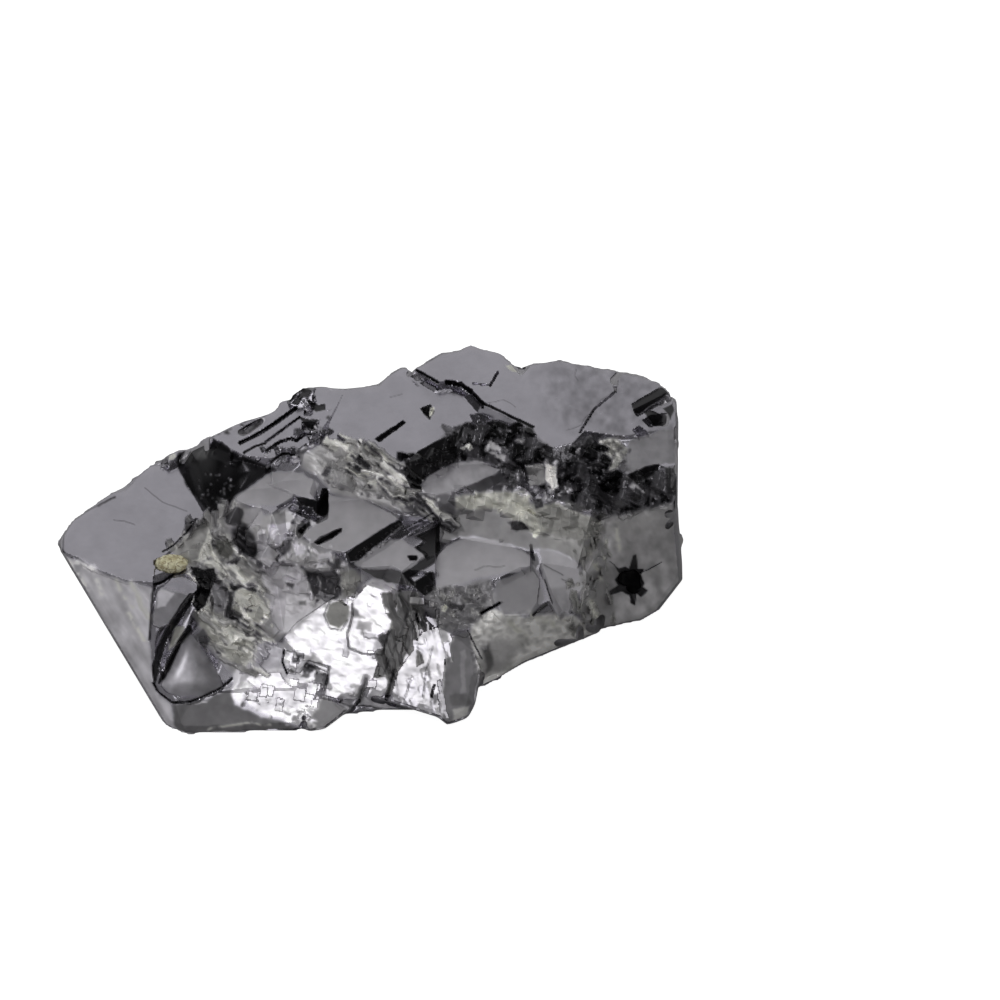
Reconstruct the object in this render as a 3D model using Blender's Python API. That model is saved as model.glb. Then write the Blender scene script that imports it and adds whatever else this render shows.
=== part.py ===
"""Galena: one tabular crystal mass with level terraces, broken cubic steps and a cleaved front, and a small grain
of another mineral set on its left terrace.

Outlines are given in millimetres on a drawing sheet 100 mm square that stands square to one fixed line of sight,
35 degrees above the horizon. A point is (right of the sheet's left edge, below its top edge). A level face is found
by carrying its outline along the line of sight to its own height, and a face that looks along the line of sight is
placed by its depth.
"""

import math

import bmesh
import bpy
import numpy as np
from mathutils import Vector
from mathutils.bvhtree import BVHTree

MM = 0.001
SIGHT_RISE = math.radians(35.0)
SHEET_MIDDLE = 37.01
SHEET_GROUND = 73.6
MIDDLE_DEPTH = 20.72

# Heights of the level faces above the table, in mm.
SHOULDER = 13.5
STRIPED = 19.5
MAIN_TOP = 19.6
REAR_TOP = 20.5
RIGHT_LEDGE = 19.5
MIDDLE_LEDGE = 17.4
FRONT_LEDGE = 16.0
FRONT_STEP = 14.5
FRONT_STRIP = 13.8
LOW_LEDGE = 13.2
LOW_CORNER = 12.4
FAN = 12.6

# The three upper cube faces round the upright threefold axis look this way, and rise this much.
CUBE_AZIMUTHS = (317.0, 197.0, 77.0)
CUBE_RISE = 0.577
OCTAHEDRON_RISE = 0.333

RIGHT = Vector((1.0, 0.0, 0.0))
UP = Vector((0.0, math.sin(SIGHT_RISE), math.cos(SIGHT_RISE)))
TOWARDS = Vector((0.0, -math.cos(SIGHT_RISE), math.sin(SIGHT_RISE)))

random = np.random.default_rng(41)


def plan(x, y, z):
    """The point at x on the sheet, y back from the front line and z above the table."""
    return Vector((x - SHEET_MIDDLE, y - MIDDLE_DEPTH, z))


def level(x, y, z):
    """The point seen at (x, y) on the sheet that lies z above the table."""
    rise = SHEET_GROUND - y
    back = (rise - z * math.cos(SIGHT_RISE)) / math.sin(SIGHT_RISE)
    return plan(x, back, z)


def facing(x, y, depth):
    """The point seen at (x, y) on the sheet, this depth towards the viewer from the front line."""
    return plan(SHEET_MIDDLE, 0.0, 0.0) + RIGHT * (x - SHEET_MIDDLE) + UP * (SHEET_GROUND - y) + TOWARDS * depth


def direction(azimuth, rise):
    """The unit vector with this compass azimuth from +X and this upward part."""
    flat = math.sqrt(1.0 - rise * rise)
    angle = math.radians(azimuth)
    return Vector((flat * math.cos(angle), flat * math.sin(angle), rise))


def through(first, second, third):
    """The half space behind the plane of three points, whose face is seen along the line of sight."""
    outward = (second - first).cross(third - first).normalized()
    if outward.dot(TOWARDS) < 0.0:
        outward = -outward
    return (outward, first)


CUBE_AXES = [direction(azimuth, CUBE_RISE) for azimuth in CUBE_AZIMUTHS]


def mesh_object(name, shape):
    """An object from a bmesh, still in millimetres."""
    shape.normal_update()
    bmesh.ops.recalc_face_normals(shape, faces=shape.faces)
    mesh = bpy.data.meshes.new(name)
    shape.to_mesh(mesh)
    shape.free()
    made = bpy.data.objects.new(name, mesh)
    return made


def cut_block(name, halves):
    """The convex block left inside these half spaces, each (outward normal, point on its face)."""
    shape = bmesh.new()
    bmesh.ops.create_cube(shape, size=300.0)
    for outward, point in halves:
        parts = shape.verts[:] + shape.edges[:] + shape.faces[:]
        found = bmesh.ops.bisect_plane(
            shape, geom=parts, plane_co=point, plane_no=outward, clear_outer=True, dist=1e-5
        )
        rim = [part for part in found["geom_cut"] if isinstance(part, bmesh.types.BMEdge)]
        bmesh.ops.contextual_create(shape, geom=rim)
    return mesh_object(name, shape)


def hull(name, points):
    shape = bmesh.new()
    for point in points:
        shape.verts.new(point)
    found = bmesh.ops.convex_hull(shape, input=shape.verts)
    spare = [part for part in found["geom_interior"] if isinstance(part, bmesh.types.BMVert)]
    bmesh.ops.delete(shape, geom=spare, context="VERTS")
    bmesh.ops.dissolve_limit(shape, angle_limit=0.002, verts=shape.verts, edges=shape.edges)
    return mesh_object(name, shape)


def prism(name, front, back):
    """A solid between two matching rings of points."""
    shape = bmesh.new()
    first = [shape.verts.new(point) for point in front]
    last = [shape.verts.new(point) for point in back]
    count = len(first)
    shape.faces.new(first)
    shape.faces.new(list(reversed(last)))
    for i in range(count):
        after = (i + 1) % count
        shape.faces.new((first[after], first[i], last[i], last[after]))
    return mesh_object(name, shape)


def near_cube_face(azimuth, limit=34.0):
    """Whether one of the two upper cube faces at the front looks about this way."""
    return any(abs((azimuth - face + 180.0) % 360.0 - 180.0) < limit for face in CUBE_AZIMUTHS[:2])


def terrace(name, outline, height, riser, root):
    """A level step: a plug under the outline, with a sloping riser on each side that follows a cube face."""
    top = [level(x, y, height) for x, y in outline]
    count = len(top)
    area = sum(top[i].x * top[(i + 1) % count].y - top[(i + 1) % count].x * top[i].y for i in range(count))
    turn = 1.0 if area > 0.0 else -1.0
    parts = [prism(name, top, [Vector((point.x, point.y, root)) for point in top])]
    reach = riser * CUBE_RISE / math.sqrt(1.0 - CUBE_RISE**2)
    for i in range(count):
        start = top[i]
        end = top[(i + 1) % count]
        along = end - start
        outward = Vector((along.y, -along.x, 0.0)).normalized() * turn
        azimuth = math.degrees(math.atan2(outward.y, outward.x)) % 360.0
        if along.length < 0.7 or not near_cube_face(azimuth):
            continue
        flare = along.normalized() * (0.45 * reach)
        sill = Vector((0.0, 0.0, -0.03))
        inward = outward * -0.35
        low = Vector((0.0, 0.0, -riser))
        points = []
        for point, side in ((start, -1.0), (end, 1.0)):
            rim = point + sill + outward * 0.005
            heel = point + sill + inward
            toe = point + low + outward * (reach + 0.005) + flare * side
            points += [rim, heel, toe]
            points += [Vector((heel.x, heel.y, root + 0.1)), Vector((toe.x, toe.y, root + 0.1))]
        parts.append(hull(name + "_riser", points))
    return parts


def plate(name, outline, depth, thickness, lean=(0.0, 0.0), shrink=1.0):
    """A cleavage plate that looks along the line of sight, leaning a little, and reaching back into the body."""
    middle_x = sum(x for x, _ in outline) / len(outline)
    middle_y = sum(y for _, y in outline) / len(outline)
    front = []
    back = []
    for x, y in outline:
        near = depth + lean[0] * (x - middle_x) + lean[1] * (middle_y - y)
        front.append(facing(x, y, near))
        far_x = middle_x + (x - middle_x) * shrink
        far_y = middle_y + (y - middle_y) * shrink
        back.append(facing(far_x, far_y, depth - thickness))
    return prism(name, front, back)


def cube(name, corner, sides, axes):
    """A box with its upper front corner here, running back along the three axes."""
    shape = bmesh.new()
    bmesh.ops.create_cube(shape, size=1.0)
    half = [axis * (side * 0.5) for axis, side in zip(axes, sides)]
    middle = corner - half[0] - half[1] - half[2]
    for vert in shape.verts:
        local = vert.co * 2.0
        vert.co = middle + half[0] * local.x + half[1] * local.y + half[2] * local.z
    return mesh_object(name, shape)


def lump(name, middle, radii, axes, rings=10, around=16, uneven=0.0):
    """A rounded lump with these radii along these axes."""
    shape = bmesh.new()
    bmesh.ops.create_uvsphere(shape, u_segments=around, v_segments=rings, radius=1.0)
    for vert in shape.verts:
        local = vert.co * (1.0 + uneven * float(random.uniform(-1.0, 1.0)))
        spot = middle
        for axis, radius, part in zip(axes, radii, local):
            spot = spot + axis * (radius * part)
        vert.co = spot
    return mesh_object(name, shape)


def boolean(first, second, operation):
    """Joins the second object to the first or cuts it from it, and removes the second."""
    modifier = first.modifiers.new("step", "BOOLEAN")
    modifier.operation = operation
    modifier.solver = "MANIFOLD"
    modifier.object = second
    bpy.context.view_layer.update()
    graph = bpy.context.evaluated_depsgraph_get()
    mesh = bpy.data.meshes.new_from_object(first.evaluated_get(graph))
    first.modifiers.remove(modifier)
    first.data = mesh
    bpy.data.objects.remove(second)


def combine(body, tools, operation):
    """Joins the tools with each other, two by two, and then joins them to the body or cuts them from it."""
    for tool in tools:
        bpy.context.scene.collection.objects.link(tool)
    waiting = list(tools)
    while len(waiting) > 1:
        for first, second in zip(waiting[0::2], waiting[1::2]):
            boolean(first, second, "UNION")
        waiting = waiting[0::2]
    boolean(body, waiting[0], operation)


def in_metres(made):
    """Keeps the one outer surface, as triangles, and turns it from millimetres into metres."""
    shape = bmesh.new()
    shape.from_mesh(made.data)
    bmesh.ops.triangulate(shape, faces=shape.faces)
    waiting = set(shape.faces)
    surfaces = []
    while waiting:
        found = {waiting.pop()}
        edge_of = list(found)
        while edge_of:
            face = edge_of.pop()
            near = {other for edge in face.edges for other in edge.link_faces} & waiting
            waiting -= near
            found |= near
            edge_of += near
        surfaces.append(found)
    surfaces.sort(key=len)
    for spare in surfaces[:-1]:
        bmesh.ops.delete(shape, geom=list(spare), context="FACES")
    bmesh.ops.scale(shape, vec=(MM, MM, MM), verts=shape.verts)
    shape.to_mesh(made.data)
    shape.free()


for old in list(bpy.data.objects):
    bpy.data.objects.remove(old)

grown = []
cutters = []

# The big blocks of the body, each bounded by flat crystal faces.
FLOOR = (Vector((0.0, 0.0, -1.0)), plan(0.0, 0.0, 0.0))
LEFT_WALL = through(level(6.4, 55.3, SHOULDER), level(14.5, 58.5, SHOULDER), level(18.4, 73.4, 0.0))
FRONT = through(facing(18.4, 73.5, -0.3), facing(15.5, 60.0, 1.6), facing(33.0, 65.0, -1.9))
BEVEL = through(level(24.0, 53.5, SHOULDER), facing(28.0, 63.7, -1.6), plan(17.0, 8.3, 12.2))
STRIPED_WALL = (direction(198.6, CUBE_RISE), level(20.3, 51.6, SHOULDER))


def below(height):
    """The half space under a level face."""
    return (Vector((0.0, 0.0, 1.0)), plan(0.0, 0.0, height))


def above(height):
    """The half space over a level face."""
    return (Vector((0.0, 0.0, -1.0)), plan(0.0, 0.0, height))


def behind(y):
    """The half space this far back from the front line or more."""
    return (Vector((0.0, -1.0, 0.0)), plan(0.0, y, 0.0))


def right_of(x):
    return (Vector((-1.0, 0.0, 0.0)), plan(x, 0.0, 0.0))


def left_of(x):
    return (Vector((1.0, 0.0, 0.0)), plan(x, 0.0, 0.0))


body = cut_block("galena_crystal", [
    FLOOR,
    below(SHOULDER - 0.25),
    LEFT_WALL,
    FRONT,
    BEVEL,
    (direction(197.0, -0.45), level(5.85, 55.0, SHOULDER)),
    (direction(152.0, -0.25), level(8.0, 51.1, SHOULDER)),
    (direction(141.0, -0.22), level(14.2, 46.7, SHOULDER)),
    (direction(105.0, 0.10), plan(24.0, 32.5, 9.0)),
    (direction(0.0, 0.0), plan(36.0, 10.0, 0.0)),
])

grown.append(cut_block("middle", [
    FLOOR,
    below(15.4),
    STRIPED_WALL,
    LEFT_WALL,
    (direction(197.0, -0.45), level(5.85, 55.0, SHOULDER)),
    (direction(152.0, -0.10), plan(12.0, 24.0, 9.0)),
    BEVEL,
    FRONT,
    (direction(318.0, 0.3), plan(47.0, 12.0, 12.0)),
    left_of(58.0),
    (direction(95.0, 0.15), plan(40.0, 36.0, 8.0)),
    (direction(130.0, 0.10), plan(22.0, 32.0, 8.0)),
]))

grown.append(cut_block("front", [
    FLOOR,
    below(13.0),
    through(facing(30.0, 70.0, -1.5), facing(44.0, 71.0, -1.3), facing(40.0, 58.0, -2.3)),
    (direction(205.0, 0.40), facing(28.5, 62.0, -2.0)),
    behind(4.3),
    (direction(0.0, 0.05), plan(46.9, 8.0, 5.0)),
    (direction(90.0, 0.0), plan(40.0, 25.0, 8.0)),
]))

grown.append(cut_block("foot", [
    FLOOR,
    below(3.4),
    LEFT_WALL,
    through(level(18.4, 73.5, 0.0), level(31.0, 73.05, 0.0), facing(24.0, 70.6, -0.35)),
    (direction(330.0, 0.2), plan(31.5, 2.2, 1.0)),
    (direction(90.0, 0.0), plan(40.0, 12.0, 8.0)),
    (direction(197.0, -0.45), level(5.85, 55.0, SHOULDER)),
]))

grown.append(cut_block("brow", [
    above(5.0),
    below(14.3),
    through(plan(31.0, 10.8, 15.0), plan(39.0, 9.1, 14.0), plan(36.0, 9.9, 10.0)),
    (direction(204.0, 0.50), level(29.0, 54.2, 14.0)),
    left_of(43.5),
    (direction(90.0, 0.0), plan(40.0, 22.0, 8.0)),
]))

grown.append(cut_block("saddle", [
    above(9.0),
    below(16.5),
    through(level(45.5, 54.3, LOW_LEDGE - 0.3), level(52.5, 55.5, LOW_LEDGE - 0.3), level(50.0, 49.6, 16.2)),
    through(facing(42.0, 60.0, -1.0), facing(48.0, 58.0, -0.6), facing(46.0, 70.0, -1.2)),
    right_of(41.0),
    (direction(343.0, 0.0), plan(58.0, 12.0, 0.0)),
    behind(11.0),
    (direction(90.0, 0.0), plan(50.0, 25.0, 0.0)),
]))

grown.append(cut_block("low_right", [
    FLOOR,
    below(LOW_CORNER - 0.3),
    through(plan(48.4, 9.6, 0.0), plan(64.0, 20.4, 0.0), plan(51.2, 3.6, 12.2)),
    (direction(343.0, -0.05), plan(58.5, 10.4, LOW_CORNER)),
    (direction(255.0, 0.0), plan(46.5, 6.0, 5.0)),
    (direction(180.0, 0.0), plan(44.0, 10.0, 0.0)),
    (direction(90.0, 0.0), plan(50.0, 27.0, 0.0)),
]))

grown.append(cut_block("right", [
    FLOOR,
    below(13.6),
    (direction(290.0, 0.0), plan(62.0, 18.9, 8.0)),
    (direction(314.0, 0.0), plan(65.6, 21.0, 3.0)),
    (direction(0.0, 0.07), plan(68.3, 24.0, 4.0)),
    (direction(42.0, 0.05), plan(67.2, 30.5, 5.0)),
    (direction(82.0, 0.15), plan(60.0, 36.0, 8.0)),
    (direction(180.0, 0.0), plan(50.0, 10.0, 0.0)),
]))

grown.append(cut_block("rear_left", [
    above(2.0),
    (direction(270.0, 0.3), plan(36.0, 17.4, 15.4)),
    below(19.0),
    (direction(198.6, CUBE_RISE), level(24.5, 45.2, STRIPED)),
    through(level(24.5, 45.6, 19.0), level(50.0, 43.3, 19.0), level(40.0, 51.0, 15.2)),
    (direction(0.0, 0.0), plan(58.0, 20.0, 0.0)),
    (direction(92.0, 0.12), plan(50.0, 37.6, 18.0)),
    (direction(118.0, 0.12), level(35.0, 38.9, 19.0)),
    (direction(143.0, 0.10), level(23.8, 42.3, 19.0)),
]))

grown.append(cut_block("rear_right", [
    above(12.0),
    below(19.0),
    through(plan(54.5, 22.2, 19.0), plan(66.0, 18.9, 19.0), plan(60.0, 18.6, 13.5)),
    (direction(180.0, 0.0), plan(53.0, 20.0, 0.0)),
    (direction(335.0, 0.0), plan(67.1, 19.8, 16.0)),
    (direction(0.0, -0.03), plan(67.9, 24.0, 19.0)),
    (direction(52.0, 0.10), level(66.9, 39.2, 19.0)),
    (direction(82.0, 0.15), level(60.0, 37.4, 19.0)),
]))

# Level terraces: name, outline, height, riser, root.
TERRACES = (
    ("shoulder", SHOULDER, 0.25, 13.0, (
        (5.9, 54.6), (6.1, 53.2), (6.9, 52.0), (8.5, 50.8), (10.7, 49.2), (12.3, 48.6), (13.2, 47.6),
        (14.6, 46.4), (16.1, 46.0), (17.2, 46.3), (18.5, 48.7), (19.9, 50.8), (20.6, 52.0), (18.8, 52.9),
        (17.2, 54.8), (15.6, 56.2), (15.3, 58.2), (12.6, 58.0), (9.2, 56.7), (7.7, 55.7), (6.4, 55.3),
    )),
    ("striped", STRIPED, 2.5, 12.0, (
        (20.5, 43.6), (22.2, 42.7), (24.0, 41.9), (26.2, 41.3), (27.3, 40.7), (27.8, 39.8), (29.1, 39.6),
        (30.4, 38.4), (32.0, 38.3), (34.4, 38.6), (33.0, 41.5), (31.6, 43.5), (29.5, 45.0), (27.0, 45.8),
        (24.3, 45.5), (23.0, 44.9), (22.0, 44.1),
    )),
    ("rim", SHOULDER + 1.0, 1.0, 10.0, (
        (16.4, 45.9), (16.4, 45.3), (17.5, 44.8), (18.5, 44.7), (19.1, 44.4), (19.7, 43.8), (20.6, 43.3),
        (21.2, 44.0), (19.4, 44.7), (17.6, 45.3),
    )),
    ("main_top", MAIN_TOP, 2.2, 12.0, (
        (34.4, 38.6), (37.8, 38.1), (38.8, 37.1), (39.3, 36.8), (40.0, 36.4), (40.5, 36.4), (41.1, 37.0),
        (42.4, 37.6), (43.8, 38.1), (45.0, 38.9),
        (46.6, 39.6), (48.3, 40.7), (51.0, 41.9), (53.1, 42.9), (51.2, 42.8), (49.5, 42.3), (46.5, 42.1),
        (45.7, 43.0), (43.7, 44.0), (41.6, 45.2), (42.2, 45.6), (41.0, 46.2), (40.0, 46.3), (39.0, 45.7),
        (37.5, 45.0), (35.8, 44.7), (33.5, 44.0), (32.5, 43.6), (32.9, 42.0), (33.6, 40.6),
    )),
    ("rear_top", REAR_TOP, 1.4, 17.6, (
        (41.3, 36.6), (42.5, 35.9), (44.0, 35.0), (45.8, 34.7), (47.0, 34.0), (48.3, 34.5), (50.0, 34.9),
        (51.1, 35.9), (52.1, 37.0), (53.1, 36.1), (56.0, 35.7), (58.3, 36.1), (61.0, 36.6), (64.3, 37.3),
        (66.0, 38.0), (67.1, 38.9), (67.7, 40.0), (68.0, 41.5), (67.8, 43.5), (63.7, 43.7), (61.0, 43.4),
        (58.5, 43.0), (57.2, 44.3), (55.3, 44.7), (53.8, 44.1), (53.3, 42.8), (50.5, 41.3), (48.2, 40.2),
        (47.0, 38.8), (45.0, 37.9), (43.7, 38.1), (42.4, 37.3),
    )),
    ("right_ledge", RIGHT_LEDGE, 1.2, 15.0, (
        (62.8, 43.4), (65.0, 43.4), (67.9, 43.4), (67.9, 45.5), (67.7, 47.4), (66.1, 46.4), (64.8, 46.6),
        (63.2, 47.4), (62.8, 45.0),
    )),
    ("left_plate", MIDDLE_LEDGE, 1.0, 8.0, (
        (26.0, 48.2), (26.6, 47.6), (27.8, 46.9), (29.5, 46.9), (30.3, 47.3), (31.3, 48.0), (30.9, 49.2),
        (31.7, 50.1), (30.0, 49.7), (28.8, 49.1), (27.2, 48.5),
    )),
    ("left_plate_low", MIDDLE_LEDGE - 0.3, 2.4, 8.0, (
        (23.5, 49.7), (24.6, 48.9), (25.5, 48.1), (26.8, 48.3), (28.2, 49.0), (29.2, 49.6), (28.1, 50.5),
        (27.2, 51.3), (26.2, 50.8), (25.0, 50.6), (23.8, 50.1),
    )),
    ("left_plate_edge", MIDDLE_LEDGE - 0.9, 1.0, 8.0, (
        (27.2, 51.6), (28.2, 50.6), (29.6, 51.3), (30.8, 51.9), (30.5, 52.4), (29.5, 52.6),
    )),
    ("front_ledge", FRONT_LEDGE, 1.6, 12.5, (
        (32.8, 49.2), (35.2, 49.6), (37.2, 50.3), (39.0, 51.2), (39.9, 51.9), (38.0, 53.1), (36.0, 54.4),
        (34.5, 55.2), (32.5, 54.8), (31.0, 54.2), (30.2, 53.5), (31.3, 52.6), (32.8, 51.8),
    )),
    ("front_step", FRONT_STEP, 1.2, 12.5, (
        (36.0, 56.6), (38.0, 55.1), (40.2, 53.7), (42.0, 52.7), (43.8, 52.0), (43.0, 52.9), (41.7, 53.6),
        (42.4, 54.0), (41.5, 54.7), (42.7, 55.4), (41.2, 56.3), (40.2, 57.1), (39.2, 56.5), (36.8, 56.7),
    )),
    ("front_strip", FRONT_STRIP, 1.2, 11.5, (
        (41.0, 57.7), (43.3, 56.4), (43.6, 57.0), (41.5, 58.2),
    )),
    ("low_ledge", LOW_LEDGE, 1.0, 11.4, (
        (43.6, 55.6), (45.0, 54.3), (45.7, 53.9), (47.0, 53.7), (48.3, 53.7), (50.0, 54.3), (52.5, 55.1),
        (53.1, 55.2), (53.1, 56.6), (52.0, 56.7), (50.0, 57.7), (48.0, 58.3), (46.5, 58.7), (45.3, 58.4),
        (44.0, 58.8), (43.6, 59.2),
    )),
    ("low_corner", LOW_CORNER, 0.5, 11.6, (
        (49.0, 58.3), (51.2, 57.0), (53.0, 56.6), (54.0, 58.0), (53.7, 60.2), (52.8, 61.5), (50.5, 61.5),
        (49.4, 60.4),
    )),
    ("fan", FAN, 0.6, 11.6, (
        (53.8, 54.9), (55.2, 54.8), (56.6, 55.5), (57.7, 56.0), (58.7, 57.3), (58.6, 58.3), (57.8, 59.2),
        (57.3, 60.0), (56.8, 61.2), (56.2, 61.0), (55.3, 59.5), (54.6, 57.5), (54.0, 56.0),
    )),
    ("lens", MIDDLE_LEDGE, 1.0, 8.0, (
        (42.1, 49.2), (42.2, 48.0), (43.2, 47.5), (44.7, 46.7), (45.5, 46.2), (47.5, 46.1), (49.5, 46.7),
        (50.1, 46.9), (49.0, 47.6), (47.5, 48.2), (45.5, 48.9), (43.5, 49.4),
    )),
)
for name, height, riser, root, outline in TERRACES:
    grown += terrace(name, outline, height, riser, root)

# Cleavage plates on the front: name, depth, thickness, lean, outline.
PLATES = (
    ("plate_main", -1.4, 4.0, (0.02, 0.03), (
        (28.4, 63.7), (29.7, 62.2), (31.8, 60.8), (33.3, 59.8), (34.8, 60.7), (36.8, 58.3), (38.0, 58.0),
        (39.2, 58.4), (39.9, 60.0), (39.4, 62.0), (38.5, 63.8), (38.1, 65.2), (37.4, 67.7), (35.5, 70.4),
        (32.3, 69.5), (32.8, 67.3), (31.0, 66.3), (29.7, 65.5),
    )),
    ("plate_low", -0.9, 4.0, (-0.03, 0.0), (
        (25.0, 67.2), (28.0, 67.3), (28.6, 68.3), (30.2, 69.3), (32.0, 69.7), (31.9, 71.0), (29.5, 70.4),
        (26.2, 69.2), (24.3, 67.8),
    )),
    ("plate_small", -1.2, 4.0, (0.0, 0.04), (
        (36.6, 69.7), (37.4, 67.8), (39.3, 67.4), (38.3, 70.1),
    )),
    ("plate_right", -0.6, 4.0, (0.03, -0.02), (
        (39.8, 67.1), (41.3, 65.0), (42.2, 63.2), (43.7, 62.7), (45.0, 63.4), (45.3, 64.0), (44.5, 66.0),
        (44.3, 68.5), (44.3, 71.9), (42.0, 71.2), (38.8, 70.2), (39.6, 68.0),
    )),
    ("post", -0.8, 6.0, (-0.25, 0.0), (
        (45.3, 63.7), (46.8, 63.2), (47.5, 65.5), (48.2, 67.2), (47.9, 68.5), (47.5, 70.5), (46.8, 71.8),
        (45.5, 72.3), (44.7, 72.5), (44.1, 72.0), (44.1, 70.0), (44.3, 68.0), (44.7, 65.0),
    )),
    ("toe", -0.4, 3.0, (0.0, -0.35), (
        (31.9, 69.8), (34.2, 70.3), (35.3, 70.8), (34.2, 71.6), (32.5, 72.9), (30.8, 73.2), (30.3, 72.7),
        (30.5, 70.8),
    )),
)
for name, depth, thickness, lean, outline in PLATES:
    grown.append(plate(name, outline, depth, thickness, lean))

# Cleavage blocks down the hidden back and sides. They follow this line of plan points (x, y, highest top), and each
# stands a little way out of the wall there.
BACK_LINE = (
    (12.5, 22.5, 12.0), (18.0, 28.0, 12.5), (24.0, 32.0, 13.0), (31.0, 35.0, 15.5), (41.0, 36.5, 17.5),
    (50.0, 37.0, 17.5), (57.0, 35.5, 17.0), (61.5, 32.5, 16.0), (63.8, 29.0, 14.0),
)
BACK_BLOCKS = 34
for i in range(BACK_BLOCKS):
    along = (i + 0.5) / BACK_BLOCKS * (len(BACK_LINE) - 1)
    start = Vector(BACK_LINE[int(along)])
    end = Vector(BACK_LINE[int(along) + 1])
    spot = start.lerp(end, along - int(along))
    outward = Vector((start.y - end.y, end.x - start.x, 0.0)).normalized()
    sides = [float(random.uniform(3.5, 9.5)) for _ in range(3)]
    reach = sum(abs(axis.dot(outward)) * side * 0.5 for axis, side in zip(CUBE_AXES, sides))
    half_height = 0.5 * CUBE_RISE * sum(sides)
    z = float(random.uniform(2.0, spot.z)) - half_height
    shift = sum((axis * (side * 0.5) for axis, side in zip(CUBE_AXES, sides)), Vector())
    middle = plan(spot.x, spot.y, z) + outward * (float(random.uniform(2.2, 5.0)) - reach)
    grown.append(cube("step", middle + shift, sides, CUBE_AXES))

bpy.context.scene.collection.objects.link(body)
combine(body, grown, "UNION")

# Broken ground: many small cleavage blocks stand out of these zones. Zone outline, count, smallest and largest
# side, and how far each block may turn from the crystal's own cube.
BROKEN = (
    (26, 0.8, 2.3, 6.0, (
        (40.5, 46.5), (45.5, 43.2), (47.0, 42.3), (53.5, 43.2), (56.0, 45.2), (56.0, 50.0), (50.5, 47.5),
        (50.0, 46.5), (45.5, 46.0), (42.0, 48.0),
    )),
    (24, 0.8, 2.3, 6.0, (
        (54.0, 46.5), (57.5, 44.5), (63.0, 44.0), (64.0, 47.8), (67.3, 47.5), (67.3, 50.5), (60.5, 51.7),
        (55.7, 50.0),
    )),
    (20, 0.7, 1.9, 30.0, (
        (32.5, 44.0), (37.0, 45.5), (42.0, 48.0), (42.0, 51.5), (38.0, 50.0), (33.0, 48.8), (31.5, 47.5),
    )),
    (22, 0.8, 1.9, 30.0, (
        (25.5, 52.3), (29.0, 53.5), (31.0, 54.8), (34.5, 56.0), (35.0, 60.0), (31.0, 60.5), (27.5, 58.0),
        (25.0, 55.0),
    )),
    (24, 0.9, 2.2, 30.0, (
        (18.5, 57.0), (20.0, 53.0), (23.0, 52.0), (25.0, 55.0), (27.0, 59.0), (27.0, 66.0), (23.5, 66.5),
        (21.0, 63.5), (20.5, 60.0),
    )),
    (14, 0.6, 1.4, 30.0, (
        (42.5, 58.8), (47.0, 58.7), (49.4, 61.0), (50.0, 63.3), (46.0, 63.3), (43.0, 62.0),
    )),
    (18, 0.8, 2.2, 25.0, (
        (45.5, 49.3), (56.0, 49.0), (57.5, 52.5), (53.0, 53.3), (48.5, 51.5), (46.0, 51.0),
    )),
    (8, 0.6, 1.4, 30.0, (
        (58.5, 55.0), (61.0, 54.5), (61.0, 62.5), (58.5, 62.5), (57.8, 60.5),
    )),
    (10, 0.5, 1.2, 12.0, (
        (30.0, 40.5), (33.3, 40.2), (33.0, 43.8), (30.5, 45.2), (26.0, 46.4), (24.5, 45.6), (29.5, 44.0),
    )),
)
# The same along the cleaved front, where the blocks face the line of sight.
CLEAVED = (
    (13, 0.6, 1.4, 8.0, (
        (24.5, 66.0), (31.0, 66.5), (33.0, 70.5), (28.0, 71.0), (24.0, 69.5),
    )),
    (12, 0.6, 1.6, 8.0, (
        (38.5, 59.0), (42.0, 60.0), (41.8, 64.0), (39.0, 67.0), (37.5, 69.8), (36.8, 68.0), (39.0, 63.0),
    )),
)


def within(x, y, outline):
    """Whether a point of the sheet lies inside an outline."""
    crossings = 0
    for (x0, y0), (x1, y1) in zip(outline, outline[1:] + outline[:1]):
        if (y0 > y) != (y1 > y) and x < x0 + (y - y0) * (x1 - x0) / (y1 - y0):
            crossings += 1
    return crossings % 2 == 1


def seen_surface():
    """A function that gives the body's surface under a point of the sheet."""
    mesh = body.data
    tree = BVHTree.FromPolygons([vert.co for vert in mesh.vertices], [list(face.vertices) for face in mesh.polygons])

    def surface(x, y):
        return tree.ray_cast(facing(x, y, 60.0), -TOWARDS)[0]

    return surface


def turned(axes, most):
    """The axes, each turned together by a random angle of at most this many degrees."""
    about = Vector(random.normal(size=3)).normalized()
    angle = math.radians(float(random.uniform(-most, most)))
    made = []
    for axis in axes:
        along = about * about.dot(axis)
        made.append(along + (axis - along) * math.cos(angle) + about.cross(axis) * math.sin(angle))
    return made


CLEAVAGE_RIGHT = (RIGHT * math.cos(math.radians(10.0)) - UP * math.sin(math.radians(10.0))).normalized()
CLEAVAGE_AXES = [CLEAVAGE_RIGHT, TOWARDS.cross(CLEAVAGE_RIGHT).normalized(), TOWARDS]

surface = seen_surface()
rubble = []
for zones, axes in ((BROKEN, CUBE_AXES), (CLEAVED, CLEAVAGE_AXES)):
    for count, smallest, largest, turn, outline in zones:
        left = min(x for x, _ in outline)
        right = max(x for x, _ in outline)
        top = min(y for _, y in outline)
        bottom = max(y for _, y in outline)
        placed = 0
        while placed < count:
            x = float(random.uniform(left, right))
            y = float(random.uniform(top, bottom))
            spot = surface(x, y) if within(x, y, outline) else None
            if spot is None:
                continue
            sides = [float(random.uniform(smallest, largest)) for _ in range(3)]
            block_axes = turned(axes, turn)
            centre = spot - TOWARDS * (0.10 * min(sides))
            centre.z = min(centre.z, REAR_TOP + 0.1 - 0.29 * sum(sides))
            shift = sum((axis * (side * 0.5) for axis, side in zip(block_axes, sides)), Vector())
            rubble.append(cube("rubble", centre + shift, sides, block_axes))
            placed += 1
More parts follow.
